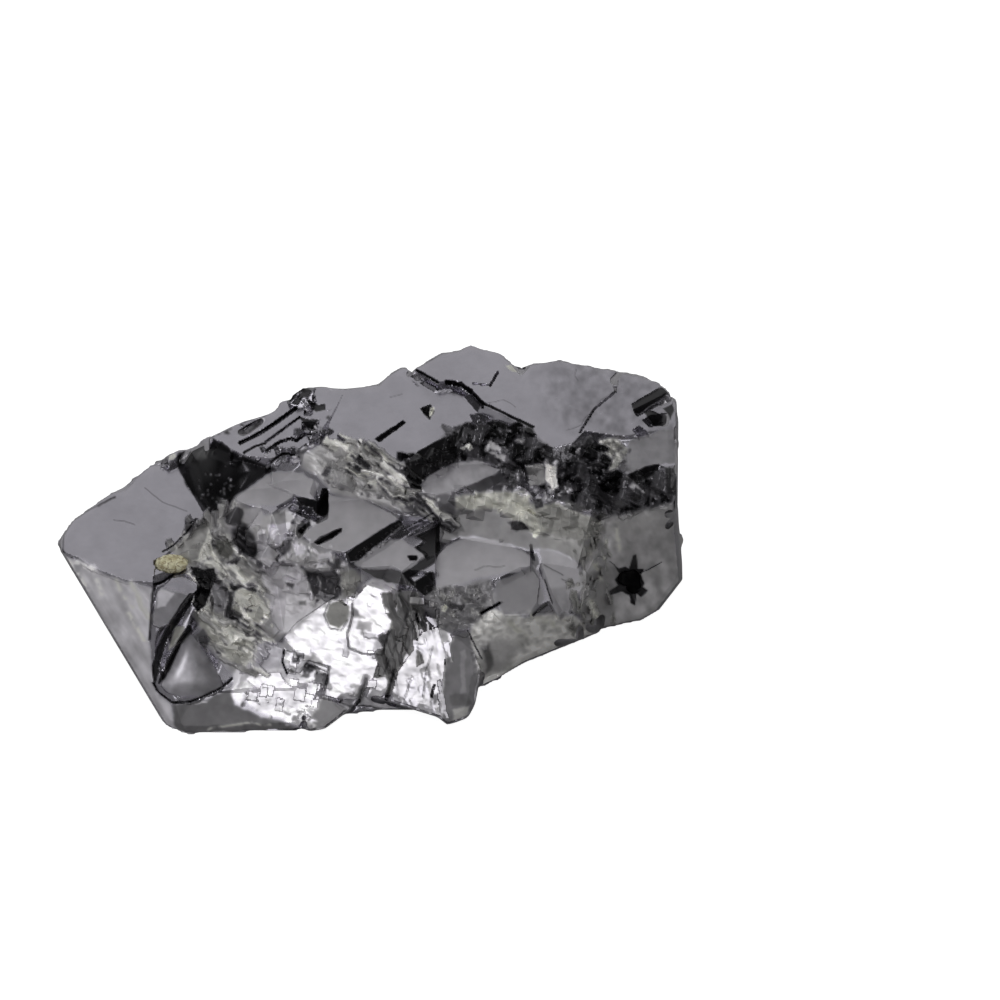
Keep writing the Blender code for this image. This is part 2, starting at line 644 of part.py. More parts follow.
combine(body, rubble, "UNION")


# Openings in level faces: height of the face, depth, outline.
PITS = (
    (MAIN_TOP, 0.8, ((37.5, 43.9), (40.2, 42.0), (40.4, 42.25), (37.8, 44.15))),
    (MAIN_TOP, 0.7, ((42.1, 40.6), (43.0, 40.4), (43.4, 41.0), (42.9, 41.8), (42.4, 41.4))),
    (FRONT_LEDGE, 1.0, ((30.9, 52.0), (30.5, 53.0), (30.0, 53.4), (29.6, 53.3), (29.8, 52.7))),
    (FRONT_LEDGE, 0.9, (
        (31.5, 54.1), (32.0, 53.6), (33.3, 53.1), (34.2, 52.7), (34.1, 53.1), (33.0, 54.0), (31.8, 54.5),
    )),
    (FRONT_LEDGE, 1.4, ((32.4, 49.0), (32.75, 49.7), (32.75, 51.5), (32.4, 51.8), (31.3, 50.7), (31.8, 50.2))),
    (FRONT_STEP, 0.6, ((40.9, 55.6), (41.7, 55.6), (41.6, 56.0), (41.0, 56.1))),
    (STRIPED, 1.2, ((29.0, 38.9), (31.1, 38.7), (30.9, 40.2), (29.6, 40.4))),
    (STRIPED, 1.0, ((30.2, 40.6), (31.2, 40.5), (31.0, 41.4), (30.3, 41.5))),
    (STRIPED, 1.0, ((30.0, 42.1), (31.8, 42.0), (31.6, 42.9), (30.1, 43.0))),
    (REAR_TOP, 1.1, ((63.4, 40.9), (66.8, 39.2), (67.2, 39.8), (63.8, 41.6))),
    (REAR_TOP, 1.3, ((64.3, 41.9), (65.2, 41.4), (66.8, 41.2), (66.6, 42.3), (65.0, 42.7))),
    (REAR_TOP, 1.0, ((63.3, 42.9), (64.0, 42.5), (64.8, 43.1), (65.3, 44.4), (64.3, 44.2))),
    (RIGHT_LEDGE, 1.0, ((62.7, 47.6), (64.8, 46.4), (66.1, 46.2), (65.2, 47.5))),
)
# Grooves: height of the face, depth, width, points.
GROOVES = (
    (STRIPED, 0.9, 0.55, ((24.1, 43.1), (25.7, 41.9))),
    (STRIPED, 0.8, 0.40, ((23.9, 44.2), (25.7, 43.3), (27.5, 42.1), (29.4, 40.7))),
    (STRIPED, 0.5, 0.20, ((26.4, 44.2), (29.8, 41.6))),
    (STRIPED, 0.8, 0.32, ((26.4, 45.1), (27.9, 44.1), (29.0, 43.8), (29.5, 44.0), (30.4, 43.3), (31.2, 43.4))),
    (REAR_TOP, 1.4, 0.30, ((41.5, 36.9), (43.7, 38.2), (45.1, 38.0), (47.0, 38.9), (48.3, 40.3))),
    (REAR_TOP, 0.6, 0.22, ((49.8, 37.0), (49.0, 38.4), (47.3, 38.2))),
    (REAR_TOP, 0.5, 0.18, ((62.5, 36.6), (61.5, 37.6), (61.7, 39.0), (59.5, 40.8), (58.0, 43.2))),
    (LOW_LEDGE, 0.6, 0.22, ((53.1, 54.8), (53.6, 56.4), (54.1, 58.2))),
    (MIDDLE_LEDGE, 0.8, 0.45, ((27.9, 50.5), (29.3, 49.6), (32.0, 50.6))),
)


def pit(height, depth, outline):
    roof = [level(x, y, height) + Vector((0.0, 0.0, 0.8)) for x, y in outline]
    base = [level(x, y, height) - Vector((0.0, 0.0, depth)) for x, y in outline]
    return prism("pit", roof, base)


def grooves_along(height, depth, width, points):
    """One narrow box for each stretch of a groove, a little longer than the stretch."""
    boxes = []
    for start, end in zip(points, points[1:]):
        along = Vector((end[0] - start[0], end[1] - start[1]))
        side = Vector((-along.y, along.x)).normalized() * (width * 0.5)
        over = along.normalized() * (width * 0.35)
        first = Vector(start) - over
        last = Vector(end) + over
        outline = ((first + side)[:], (last + side)[:], (last - side)[:], (first - side)[:])
        boxes.append(pit(height, depth, outline))
    return boxes


for height, depth, outline in PITS:
    cutters.append(pit(height, depth, outline))
for height, depth, width, points in GROOVES:
    cutters += grooves_along(height, depth, width, points)

# The star-shaped hole low in the right wall, and a cleft that leads away from it.
STAR = (
    (61.7, 57.0), (62.8, 57.0), (63.7, 55.7), (64.1, 57.0), (64.5, 58.5), (64.3, 59.8), (63.2, 60.2),
    (62.2, 59.2), (61.2, 59.4), (61.7, 58.8),
)
STAR_DEPTH = -12.6
cutters.append(prism(
    "star",
    [facing(x, y, STAR_DEPTH + 3.0) for x, y in STAR],
    [facing(62.9 + (x - 62.9) * 0.8, 58.2 + (y - 58.2) * 0.8, STAR_DEPTH - 3.5) for x, y in STAR],
))

# The curved hollow at the lower left: a deep bowl with a narrow tail that runs up and to the right.
TAIL = (RIGHT * 0.42 + UP * 0.91).normalized()
TAIL_AXES = [TAIL.cross(TOWARDS).normalized(), TAIL, TOWARDS]
cutters.append(lump("bowl", facing(19.0, 66.0, 1.7), (4.1, 4.9, 2.9), (RIGHT, UP, TOWARDS), 11, 18))
cutters.append(lump("tail", facing(19.0, 61.4, 1.2), (1.5, 5.4, 2.9), TAIL_AXES, 9, 13))

# A seat for the grain, a little larger than the grain itself.
GRAIN_CLEARANCE = 0.12
GRAIN_MIDDLE = level(17.1, 56.4, SHOULDER - 0.1)
GRAIN_RADII = (1.75, 1.1, 0.95)
GRAIN_AXES = [direction(-8.0, 0.0), direction(82.0, 0.0), Vector((0.0, 0.0, 1.0))]
seat = [radius + GRAIN_CLEARANCE for radius in GRAIN_RADII]
cutters.append(lump("seat", GRAIN_MIDDLE, seat, GRAIN_AXES, 9, 14))

# The table side is one flat cut.
cutters.append(cut_block("ground", [below(0.0)]))
combine(body, cutters, "DIFFERENCE")

# The smooth tongue inside the hollow and the wedge above it.
late = [lump("tongue", facing(18.9, 67.3, -0.6), (2.7, 3.4, 1.7), (RIGHT, UP, TOWARDS), 11, 16)]
late.append(plate("wedge", (
    (16.5, 58.5), (17.2, 57.8), (18.2, 57.6), (19.0, 57.9), (19.7, 58.3), (19.8, 58.9), (19.3, 59.5),
    (18.5, 60.5), (17.0, 62.4), (16.0, 62.8), (15.3, 62.5), (15.5, 60.0), (15.8, 59.0),
), 1.5, 4.0, (0.05, -0.25)))
combine(body, late, "UNION")
in_metres(body)

# The pale yellow grain: a low uneven lump of another mineral.
grain = lump("yellow_grain", GRAIN_MIDDLE, [radius * 0.97 for radius in GRAIN_RADII], GRAIN_AXES, 9, 14, 0.03)
bpy.context.scene.collection.objects.link(grain)
in_metres(grain)


def material(name, colour, roughness, metallic):
    made = bpy.data.materials.new(name)
    made.use_nodes = True
    shader = made.node_tree.nodes["Principled BSDF"]
    shader.inputs["Base Color"].default_value = (*colour, 1.0)
    shader.inputs["Roughness"].default_value = roughness
    shader.inputs["Metallic"].default_value = metallic
    return made


body.data.materials.clear()
body.data.materials.append(material("galena", (0.30, 0.29, 0.31), 0.28, 1.0))
grain.data.materials.append(material("yellow_mineral", (0.48, 0.43, 0.26), 0.85, 0.0))
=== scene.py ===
"""A galena crystal mass: level terraces, broken cubic steps, a cleaved front and a small yellow grain."""

import math

import bpy
import numpy as np
from mathutils import Matrix, Vector


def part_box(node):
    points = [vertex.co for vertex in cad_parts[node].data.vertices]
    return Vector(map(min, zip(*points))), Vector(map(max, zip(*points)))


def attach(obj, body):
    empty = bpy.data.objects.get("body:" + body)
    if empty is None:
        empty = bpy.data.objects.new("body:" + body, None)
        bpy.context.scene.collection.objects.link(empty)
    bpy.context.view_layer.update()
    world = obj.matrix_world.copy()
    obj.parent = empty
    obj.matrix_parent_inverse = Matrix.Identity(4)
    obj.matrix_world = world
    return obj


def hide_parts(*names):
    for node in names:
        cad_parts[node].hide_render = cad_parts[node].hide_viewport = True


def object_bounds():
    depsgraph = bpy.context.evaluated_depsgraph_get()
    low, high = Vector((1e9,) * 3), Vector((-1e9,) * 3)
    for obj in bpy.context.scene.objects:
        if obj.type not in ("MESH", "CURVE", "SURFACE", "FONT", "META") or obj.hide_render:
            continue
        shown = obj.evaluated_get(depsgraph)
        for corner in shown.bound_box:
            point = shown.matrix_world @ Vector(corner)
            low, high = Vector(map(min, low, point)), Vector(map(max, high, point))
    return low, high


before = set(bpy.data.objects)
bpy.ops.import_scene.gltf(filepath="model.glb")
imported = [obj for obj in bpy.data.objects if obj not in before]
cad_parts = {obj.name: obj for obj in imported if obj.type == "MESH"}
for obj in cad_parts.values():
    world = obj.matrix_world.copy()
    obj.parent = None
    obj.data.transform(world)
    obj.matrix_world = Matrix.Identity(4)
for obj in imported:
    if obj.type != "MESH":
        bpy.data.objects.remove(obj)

cad_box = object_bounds()

# ---- The crystal -------------------------------------------------------------------------------------------
# One mass of lead sulphide that grew as a stack of cubic layers and was split from a larger piece. The side
# that faces the viewer is a height field over a sheet square to the line of sight: the solid's own surface,
# with growth layers, cleavage blocks, cracks and chips added to it or taken from it.

MM = 0.001
SEED = 7
random = np.random.default_rng(SEED)

# The sheet: how far above level the line of sight comes from, how far right the crystal's middle lies on it
# and how far down the ground, how far before the crystal's middle it meets the ground, the stretch of it
# that is used across and down, and the step of its grid.
SIGHT_RISE = math.radians(35.0)
SHEET_MIDDLE = 37.01
SHEET_GROUND = 73.6
MIDDLE_DEPTH = 20.72
SHEET_SPAN = ((4.5, 70.0), (33.0, 74.6))
GRID = 0.10
RIGHT = np.array((1.0, 0.0, 0.0))
UP = np.array((0.0, math.sin(SIGHT_RISE), math.cos(SIGHT_RISE)))
TOWARDS = np.array((0.0, -math.cos(SIGHT_RISE), math.sin(SIGHT_RISE)))
SHEET_ORIGIN = np.array((-SHEET_MIDDLE, -MIDDLE_DEPTH, 0.0)) + UP * SHEET_GROUND
SHEET_TURN = Matrix(np.stack([RIGHT, UP, TOWARDS], 1).tolist()).to_4x4()

# Beyond any distance on the sheet, and next to nothing.
FAR = 99.0
TINY = 1e-9


def on_sheet(x, y, depth):
    """Points in millimetres: from the sheet's corner, x to the right, y down and depth towards the viewer."""
    return SHEET_ORIGIN + x[..., None] * RIGHT - y[..., None] * UP + depth[..., None] * TOWARDS


def mesh_piece(name, points, faces):
    """A mesh object whose points are given in millimetres."""
    mesh = bpy.data.meshes.new(name)
    mesh.from_pydata((np.asarray(points) * MM).tolist(), [], [list(face) for face in faces])
    made = bpy.data.objects.new(name, mesh)
    bpy.context.scene.collection.objects.link(made)
    return made


def mesh_points(mesh):
    """A mesh's points in millimetres."""
    found = np.empty(len(mesh.vertices) * 3, np.float32)
    mesh.vertices.foreach_get("co", found)
    return found.reshape(-1, 3).astype(float) / MM


def work_in(piece, kind, **settings):
    """Works a modifier of this kind into a piece's mesh."""
    modifier = piece.modifiers.new(kind.lower(), kind)
    for key, value in settings.items():
        setattr(modifier, key, value)
    graph = bpy.context.evaluated_depsgraph_get()
    piece.data = bpy.data.meshes.new_from_object(piece.evaluated_get(graph))
    piece.modifiers.clear()


def grid_faces(rows, columns):
    """The quads of a grid whose point (row, column) has index row * columns + column."""
    index = np.arange(rows * columns).reshape(rows, columns)
    return np.stack([index[:-1, :-1], index[1:, :-1], index[1:, 1:], index[:-1, 1:]], -1).reshape(-1, 4)


# How far before the sheet a grid starts on its way to a solid, and how little a point that misses it moves.
START_DEPTH = 40.0
UNMOVED = 0.01


def seen_depth(node, x, y):
    """The depth of a solid's surface at each point of a grid: a flat grid is projected onto it along the line
    of sight. Points that miss the solid give NaN."""
    flat = np.stack([x.ravel(), -y.ravel(), np.full(x.size, START_DEPTH)], 1)
    sheet = mesh_piece("sheet", flat, grid_faces(*x.shape))
    sheet.matrix_world = Matrix.Translation(SHEET_ORIGIN * MM) @ SHEET_TURN
    work_in(
        sheet, "SHRINKWRAP", wrap_method="PROJECT", use_project_z=True, use_negative_direction=True,
        use_positive_direction=False, target=node,
    )
    found = mesh_points(sheet.data)[:, 2].reshape(x.shape)
    bpy.data.objects.remove(sheet)
    return np.where(found > START_DEPTH - UNMOVED, np.nan, found)


def eroded(mask, times):
    """The mask less this many rings of grid points along its edge."""
    for _ in range(times):
        mask = mask & np.roll(mask, 1, 0) & np.roll(mask, -1, 0) & np.roll(mask, 1, 1) & np.roll(mask, -1, 1)
    return mask


def risen(mask, rings):
    """0 outside the mask, rising to 1 over this many rings of grid points inside its edge."""
    return sum(eroded(mask, ring).astype(float) for ring in range(1, rings + 1)) / rings


def inside_of(x, y, outline):
    """Whether each point lies inside an outline: it does if a ray to its right crosses the outline an odd
    number of times."""
    odd = np.zeros(x.shape, bool)
    for (x0, y0), (x1, y1) in zip(outline, outline[1:] + outline[:1]):
        if y0 != y1:
            odd ^= ((y0 > y) != (y1 > y)) & (x < x0 + (y - y0) * (x1 - x0) / (y1 - y0))
    return odd


def distance_to(x, y, points):
    """The distance from each point to the nearest stretch of a broken line."""
    nearest = np.full(x.shape, FAR)
    for (x0, y0), (x1, y1) in zip(points, points[1:]):
        length = max((x1 - x0) ** 2 + (y1 - y0) ** 2, TINY)
        along = np.clip(((x - x0) * (x1 - x0) + (y - y0) * (y1 - y0)) / length, 0.0, 1.0)
        nearest = np.minimum(nearest, np.hypot(x - x0 - along * (x1 - x0), y - y0 - along * (y1 - y0)))
    return nearest


def eased(share):
    """A share from 0 to 1, with a gentle start and end."""
    return share * share * (3.0 - 2.0 * share)


def smooth(value, low, high):
    """0 below low, 1 above high, and eased between them."""
    return eased(np.clip((value - low) / (high - low), 0.0, 1.0))


def zone(x, y, outline, soft):
    """1 inside an outline and 0 outside it, with an edge that fades over this many mm on each side."""
    away = distance_to(x, y, outline + outline[:1])
    return smooth(np.where(inside_of(x, y, outline), away, -away), -soft, soft)


def softened(field, times=1):
    """The field with each value averaged with its neighbours, this many times over."""
    for _ in range(times):
        across = (np.roll(field, 1, 1) + 2.0 * field + np.roll(field, -1, 1)) * 0.25
        field = (np.roll(across, 1, 0) + 2.0 * across + np.roll(across, -1, 0)) * 0.25
    return field


def blend(first, second, share):
    """Part of the way from the first value to the second."""
    return first + (second - first) * share


# How many random values the noise has on each side before it repeats.
LATTICE = 256


def lattice(u, v, seed):
    """Smooth noise from -1 to 1: random values at whole numbers of u and v, eased between them."""
    values = np.random.default_rng(seed).uniform(-1.0, 1.0, (LATTICE, LATTICE))
    column = np.floor(u).astype(int)
    row = np.floor(v).astype(int)
    across = eased(u - column)
    down = eased(v - row)
    near, far = (
        values[line % LATTICE, column % LATTICE] * (1 - across)
        + values[line % LATTICE, (column + 1) % LATTICE] * across
        for line in (row, row + 1)
    )
    return near * (1 - down) + far * down


def noise(x, y, size, seed, octaves=3):
    """Lattice noise of this size in mm, with finer octaves at half the size and half the strength."""
    return sum(lattice(x / size * 2**n, y / size * 2**n, seed + n) * 0.5**n for n in range(octaves))


# Outlines that several of the lists below share: a plate in the shaded gap, the large level plate below it, a
# shadowed plate of the middle, and the pale knot at the right, cream in part and glinting with painted light.
GAP_PLATE = (
    (42.2, 48.3), (43.0, 47.5), (44.5, 46.8), (45.8, 46.2), (47.5, 46.1), (49.0, 46.5), (50.0, 46.8),
    (49.5, 47.3), (47.5, 48.3), (45.0, 49.3), (43.0, 49.5), (42.3, 49.0),
)
LEVEL_PLATE = (
    (43.7, 55.6), (44.5, 54.6), (46.5, 53.8), (49.5, 54.0), (52.5, 55.2), (53.4, 56.2), (52.0, 57.2),
    (48.5, 57.6), (45.5, 58.4), (43.6, 58.8),
)
SHADED_PLATE = (
    (30.6, 57.0), (31.5, 57.2), (33.5, 57.0), (34.2, 58.2), (34.1, 59.6), (32.7, 60.2), (31.5, 59.8),
    (30.9, 58.6),
)
PALE_GLINTING_KNOT = (
    (59.9, 43.9), (61.8, 43.8), (63.0, 45.0), (62.5, 46.6), (61.0, 47.1), (60.3, 46.0),
)

# Cracks and clefts, each also darkened with painted shade: width, depth, and the points that they run
# through.
CRACKS = (
    (0.09, 0.10, ((6.2, 55.0), (6.2, 53.5), (7.0, 52.0), (8.2, 51.2), (9.5, 50.5), (11.2, 49.7))),
    (0.10, 0.14, ((9.6, 50.6), (10.4, 50.1), (11.2, 49.7))),
    (0.05, 0.06, ((14.2, 48.8), (16.0, 50.2), (18.5, 51.1))),
    (0.05, 0.06, ((11.2, 52.0), (12.3, 52.1), (13.3, 52.5))),
    (0.12, 0.25, ((17.4, 57.4), (16.0, 58.3), (15.5, 58.5), (15.3, 59.5), (15.2, 61.0), (15.0, 64.0))),
    (0.04, 0.03, ((49.8, 37.2), (49.0, 38.4), (47.2, 38.2))),
    (0.05, 0.03, (
        (62.5, 36.7), (61.6, 37.5), (61.9, 38.4), (61.5, 39.1), (60.2, 39.9), (59.2, 41.2), (58.6, 41.7),
    )),
    (0.05, 0.03, ((58.6, 41.7), (58.2, 42.5), (56.8, 43.0))),
    (0.04, 0.03, ((57.7, 36.8), (57.5, 37.4), (57.9, 38.0))),
    (0.04, 0.03, ((48.4, 40.3), (50.4, 39.9), (51.6, 40.6))),
    (0.04, 0.02, ((38.9, 39.6), (40.1, 39.3))),
    (0.07, 0.10, ((54.4, 56.5), (56.3, 57.5))),
    (0.06, 0.10, ((56.2, 57.9), (57.3, 58.3))),
    (0.08, 0.15, ((53.2, 61.4), (54.8, 60.2))),
    (0.08, 0.15, ((48.0, 61.3), (50.2, 60.2))),
    (0.07, 0.12, (
        (35.2, 60.4), (35.3, 61.6), (34.7, 63.4), (34.9, 64.8), (36.2, 65.4), (38.2, 65.5), (38.9, 63.2),
    )),
    (0.05, 0.06, ((33.0, 60.2), (32.4, 61.5), (32.9, 62.8), (34.1, 63.1), (34.8, 62.0))),
    (0.22, 0.28, ((36.6, 67.9), (35.9, 70.2))),
    (0.18, 0.28, ((39.4, 67.1), (38.6, 70.1))),
    (0.12, 0.25, ((34.3, 70.2), (41.5, 71.6))),
    (0.08, 0.10, ((28.7, 67.0), (30.0, 67.4), (30.8, 66.1), (32.9, 66.7), (32.8, 67.6), (32.4, 69.5))),
    (0.08, 0.08, ((28.7, 65.1), (29.6, 65.2), (29.9, 66.2))),
    (0.10, 0.08, ((30.9, 66.6), (31.9, 66.9), (31.7, 67.4))),
    (0.07, 0.05, ((41.2, 67.6), (40.4, 70.0))),
    (0.07, 0.04, ((43.3, 64.6), (42.6, 67.2), (42.3, 69.8))),
    (0.06, 0.03, ((47.5, 57.0), (48.4, 56.6), (49.6, 56.7), (50.5, 56.6))),
)

# Slots, pits and shadowed faces that look black, their black painted as shade, each with how far it falls
# below the face round it.
SLOTS = (
    (0.28, ((37.4, 43.9), (40.2, 42.0), (40.5, 42.2), (37.9, 44.15))),
    (0.28, ((42.0, 40.8), (42.9, 40.4), (42.9, 41.8), (42.5, 41.5))),
    (0.20, (
        (29.0, 40.2), (29.6, 39.6), (30.4, 38.5), (31.0, 39.0), (30.8, 39.5), (30.0, 39.7), (29.6, 40.4),
    )),
    (0.20, ((30.6, 39.9), (31.6, 40.4), (32.3, 40.3), (32.4, 40.9), (31.4, 41.1), (31.0, 40.8))),
    (0.20, ((29.8, 41.6), (30.7, 41.9), (31.9, 41.9), (31.3, 42.4), (31.2, 43.0), (30.4, 42.6))),
    (0.20, (
        (31.9, 50.0), (32.4, 49.3), (32.8, 49.0), (32.8, 51.2), (32.5, 51.6), (31.5, 51.4), (31.2, 50.8),
        (30.0, 50.5), (29.5, 49.7), (30.3, 49.8),
    )),
    (0.28, ((29.8, 53.0), (30.9, 52.1), (31.0, 52.5), (30.2, 53.4), (29.8, 53.2))),
    (0.28, (
        (31.4, 54.3), (32.2, 53.7), (33.2, 53.2), (34.2, 52.8), (34.1, 53.2), (33.2, 53.8), (31.8, 54.5),
    )),
    (0.10, (
        (34.7, 55.3), (36.5, 54.0), (38.2, 52.9), (40.0, 51.9), (40.3, 52.4), (38.5, 53.9), (36.9, 55.1),
        (35.9, 56.0), (35.0, 56.2),
    )),
    (0.15, (
        (40.3, 57.3), (42.5, 55.8), (43.8, 55.4), (43.4, 56.3), (41.0, 57.8), (41.5, 58.2), (43.3, 57.0),
        (43.4, 59.0), (42.5, 59.6), (41.8, 59.0), (41.2, 58.5), (40.6, 57.8),
    )),
    (0.20, (
        (41.5, 53.6), (43.0, 53.0), (44.0, 52.2), (43.9, 55.2), (42.7, 56.0), (42.3, 55.4), (41.5, 54.8),
        (42.6, 54.2),
    )),
    (0.25, ((40.7, 55.6), (41.7, 55.5), (41.8, 56.0), (41.0, 56.1))),
    (0.25, ((63.3, 40.3), (66.6, 38.4), (67.1, 39.3), (65.0, 40.6), (64.1, 41.4), (63.5, 41.2))),
    (0.25, ((64.5, 41.1), (65.2, 41.0), (66.6, 41.6), (66.2, 42.5), (65.5, 42.6), (64.9, 41.7))),
    (0.25, ((66.4, 40.8), (67.4, 40.3), (67.6, 41.0), (67.1, 42.0), (66.8, 41.2))),
    (0.20, ((62.7, 47.6), (64.8, 46.6), (66.1, 46.4), (65.2, 47.5), (63.8, 48.4))),
    (0.05, (
        (41.6, 45.2), (43.6, 44.1), (45.8, 43.2), (46.5, 42.4), (46.2, 43.5), (45.5, 44.5), (46.0, 45.0),
        (45.5, 46.0), (43.3, 47.3), (42.2, 48.0), (42.1, 49.0), (41.0, 48.8), (40.4, 47.5), (40.6, 46.3),
    )),
    (0.30, (
        (19.4, 59.4), (19.0, 60.4), (18.3, 61.5), (17.4, 62.9), (16.7, 63.9), (16.1, 65.8), (15.8, 67.4),
        (15.4, 68.5), (15.2, 66.9), (15.7, 64.8), (17.0, 62.3), (18.2, 60.4), (19.0, 59.4),
    )),
    (0.25, (
        (19.0, 62.5), (19.2, 63.1), (18.1, 64.5), (17.4, 66.1), (16.5, 67.9), (15.8, 68.4), (16.2, 67.4),
        (16.8, 65.9), (17.8, 64.1), (18.75, 62.6),
    )),
    (0.20, (
        (19.0, 56.6), (20.4, 57.0), (21.4, 56.8), (21.6, 57.8), (21.1, 59.0), (20.6, 60.5), (19.7, 61.2),
        (19.3, 60.3), (19.9, 58.6), (19.4, 57.5),
    )),
    (0.20, (
        (61.5, 56.6), (62.0, 56.9), (62.7, 56.7), (63.0, 56.9), (63.4, 55.6), (63.7, 55.5), (63.9, 56.9),
        (64.5, 57.0), (64.2, 57.5), (64.6, 58.4), (64.4, 58.8), (64.9, 59.2), (64.3, 59.8), (63.8, 59.5),
        (63.6, 60.6), (63.2, 60.4), (63.1, 59.6), (62.3, 59.2), (61.2, 59.6), (61.0, 59.2), (61.9, 58.6),
        (61.6, 58.0), (62.0, 57.4),
    )),
)

# Long lines painted black as shade in narrow grooves: width and points.
SHADED_LINES = (
    (0.15, ((24.0, 43.0), (25.6, 42.0))),
    (0.12, ((23.8, 44.3), (25.7, 43.3), (27.5, 42.1), (29.4, 40.7))),
    (0.05, ((26.4, 44.1), (29.8, 41.6))),
    (0.09, ((26.5, 45.0), (27.9, 44.1), (29.0, 43.8), (29.5, 44.0), (30.4, 43.4), (31.0, 43.4))),
    (0.11, ((24.3, 45.3), (25.4, 44.6), (26.4, 44.3))),
    (0.10, ((27.0, 46.2), (28.2, 45.3), (29.4, 45.5))),
    (0.16, ((28.8, 39.9), (29.4, 39.2), (30.2, 38.7))),
    (0.05, ((40.3, 53.0), (43.3, 51.3))),
    (0.05, ((40.8, 53.6), (43.8, 52.0))),
    (0.14, ((41.3, 36.7), (42.0, 37.1), (43.7, 38.1))),
    (0.24, ((44.7, 38.1), (46.0, 38.3), (47.0, 39.0))),
    (0.14, ((47.0, 39.0), (48.2, 40.2), (50.5, 41.3), (53.3, 42.7))),
    (0.10, (
        (15.3, 68.3), (15.8, 69.2), (17.2, 70.2), (19.0, 70.2), (20.7, 69.5), (22.2, 68.7), (23.2, 67.9),
    )),
    (0.07, ((15.4, 58.4), (16.2, 58.2), (17.3, 57.5))),
    (0.09, ((28.4, 65.0), (28.2, 66.2), (28.7, 67.4))),
    (0.06, ((46.8, 63.1), (47.5, 64.6), (48.2, 65.9))),
    (0.07, ((54.5, 58.0), (55.2, 60.3))),
    (0.12, ((53.3, 61.5), (54.7, 60.5))),
    (0.16, ((48.2, 61.3), (49.9, 60.3))),
    (0.10, ((43.4, 68.5), (43.2, 69.7))),
    (0.12, ((41.6, 61.4), (41.8, 62.2))),
    (0.05, ((64.2, 57.3), (65.2, 56.9), (66.3, 56.3))),
    (0.75, ((62.6, 57.9), (63.4, 57.8), (63.5, 58.7))),
    (0.04, ((61.0, 56.2), (61.6, 56.6))),
    (0.07, ((18.9, 52.3), (19.6, 51.9), (18.5, 53.3), (17.2, 54.6), (16.2, 55.2))),
)
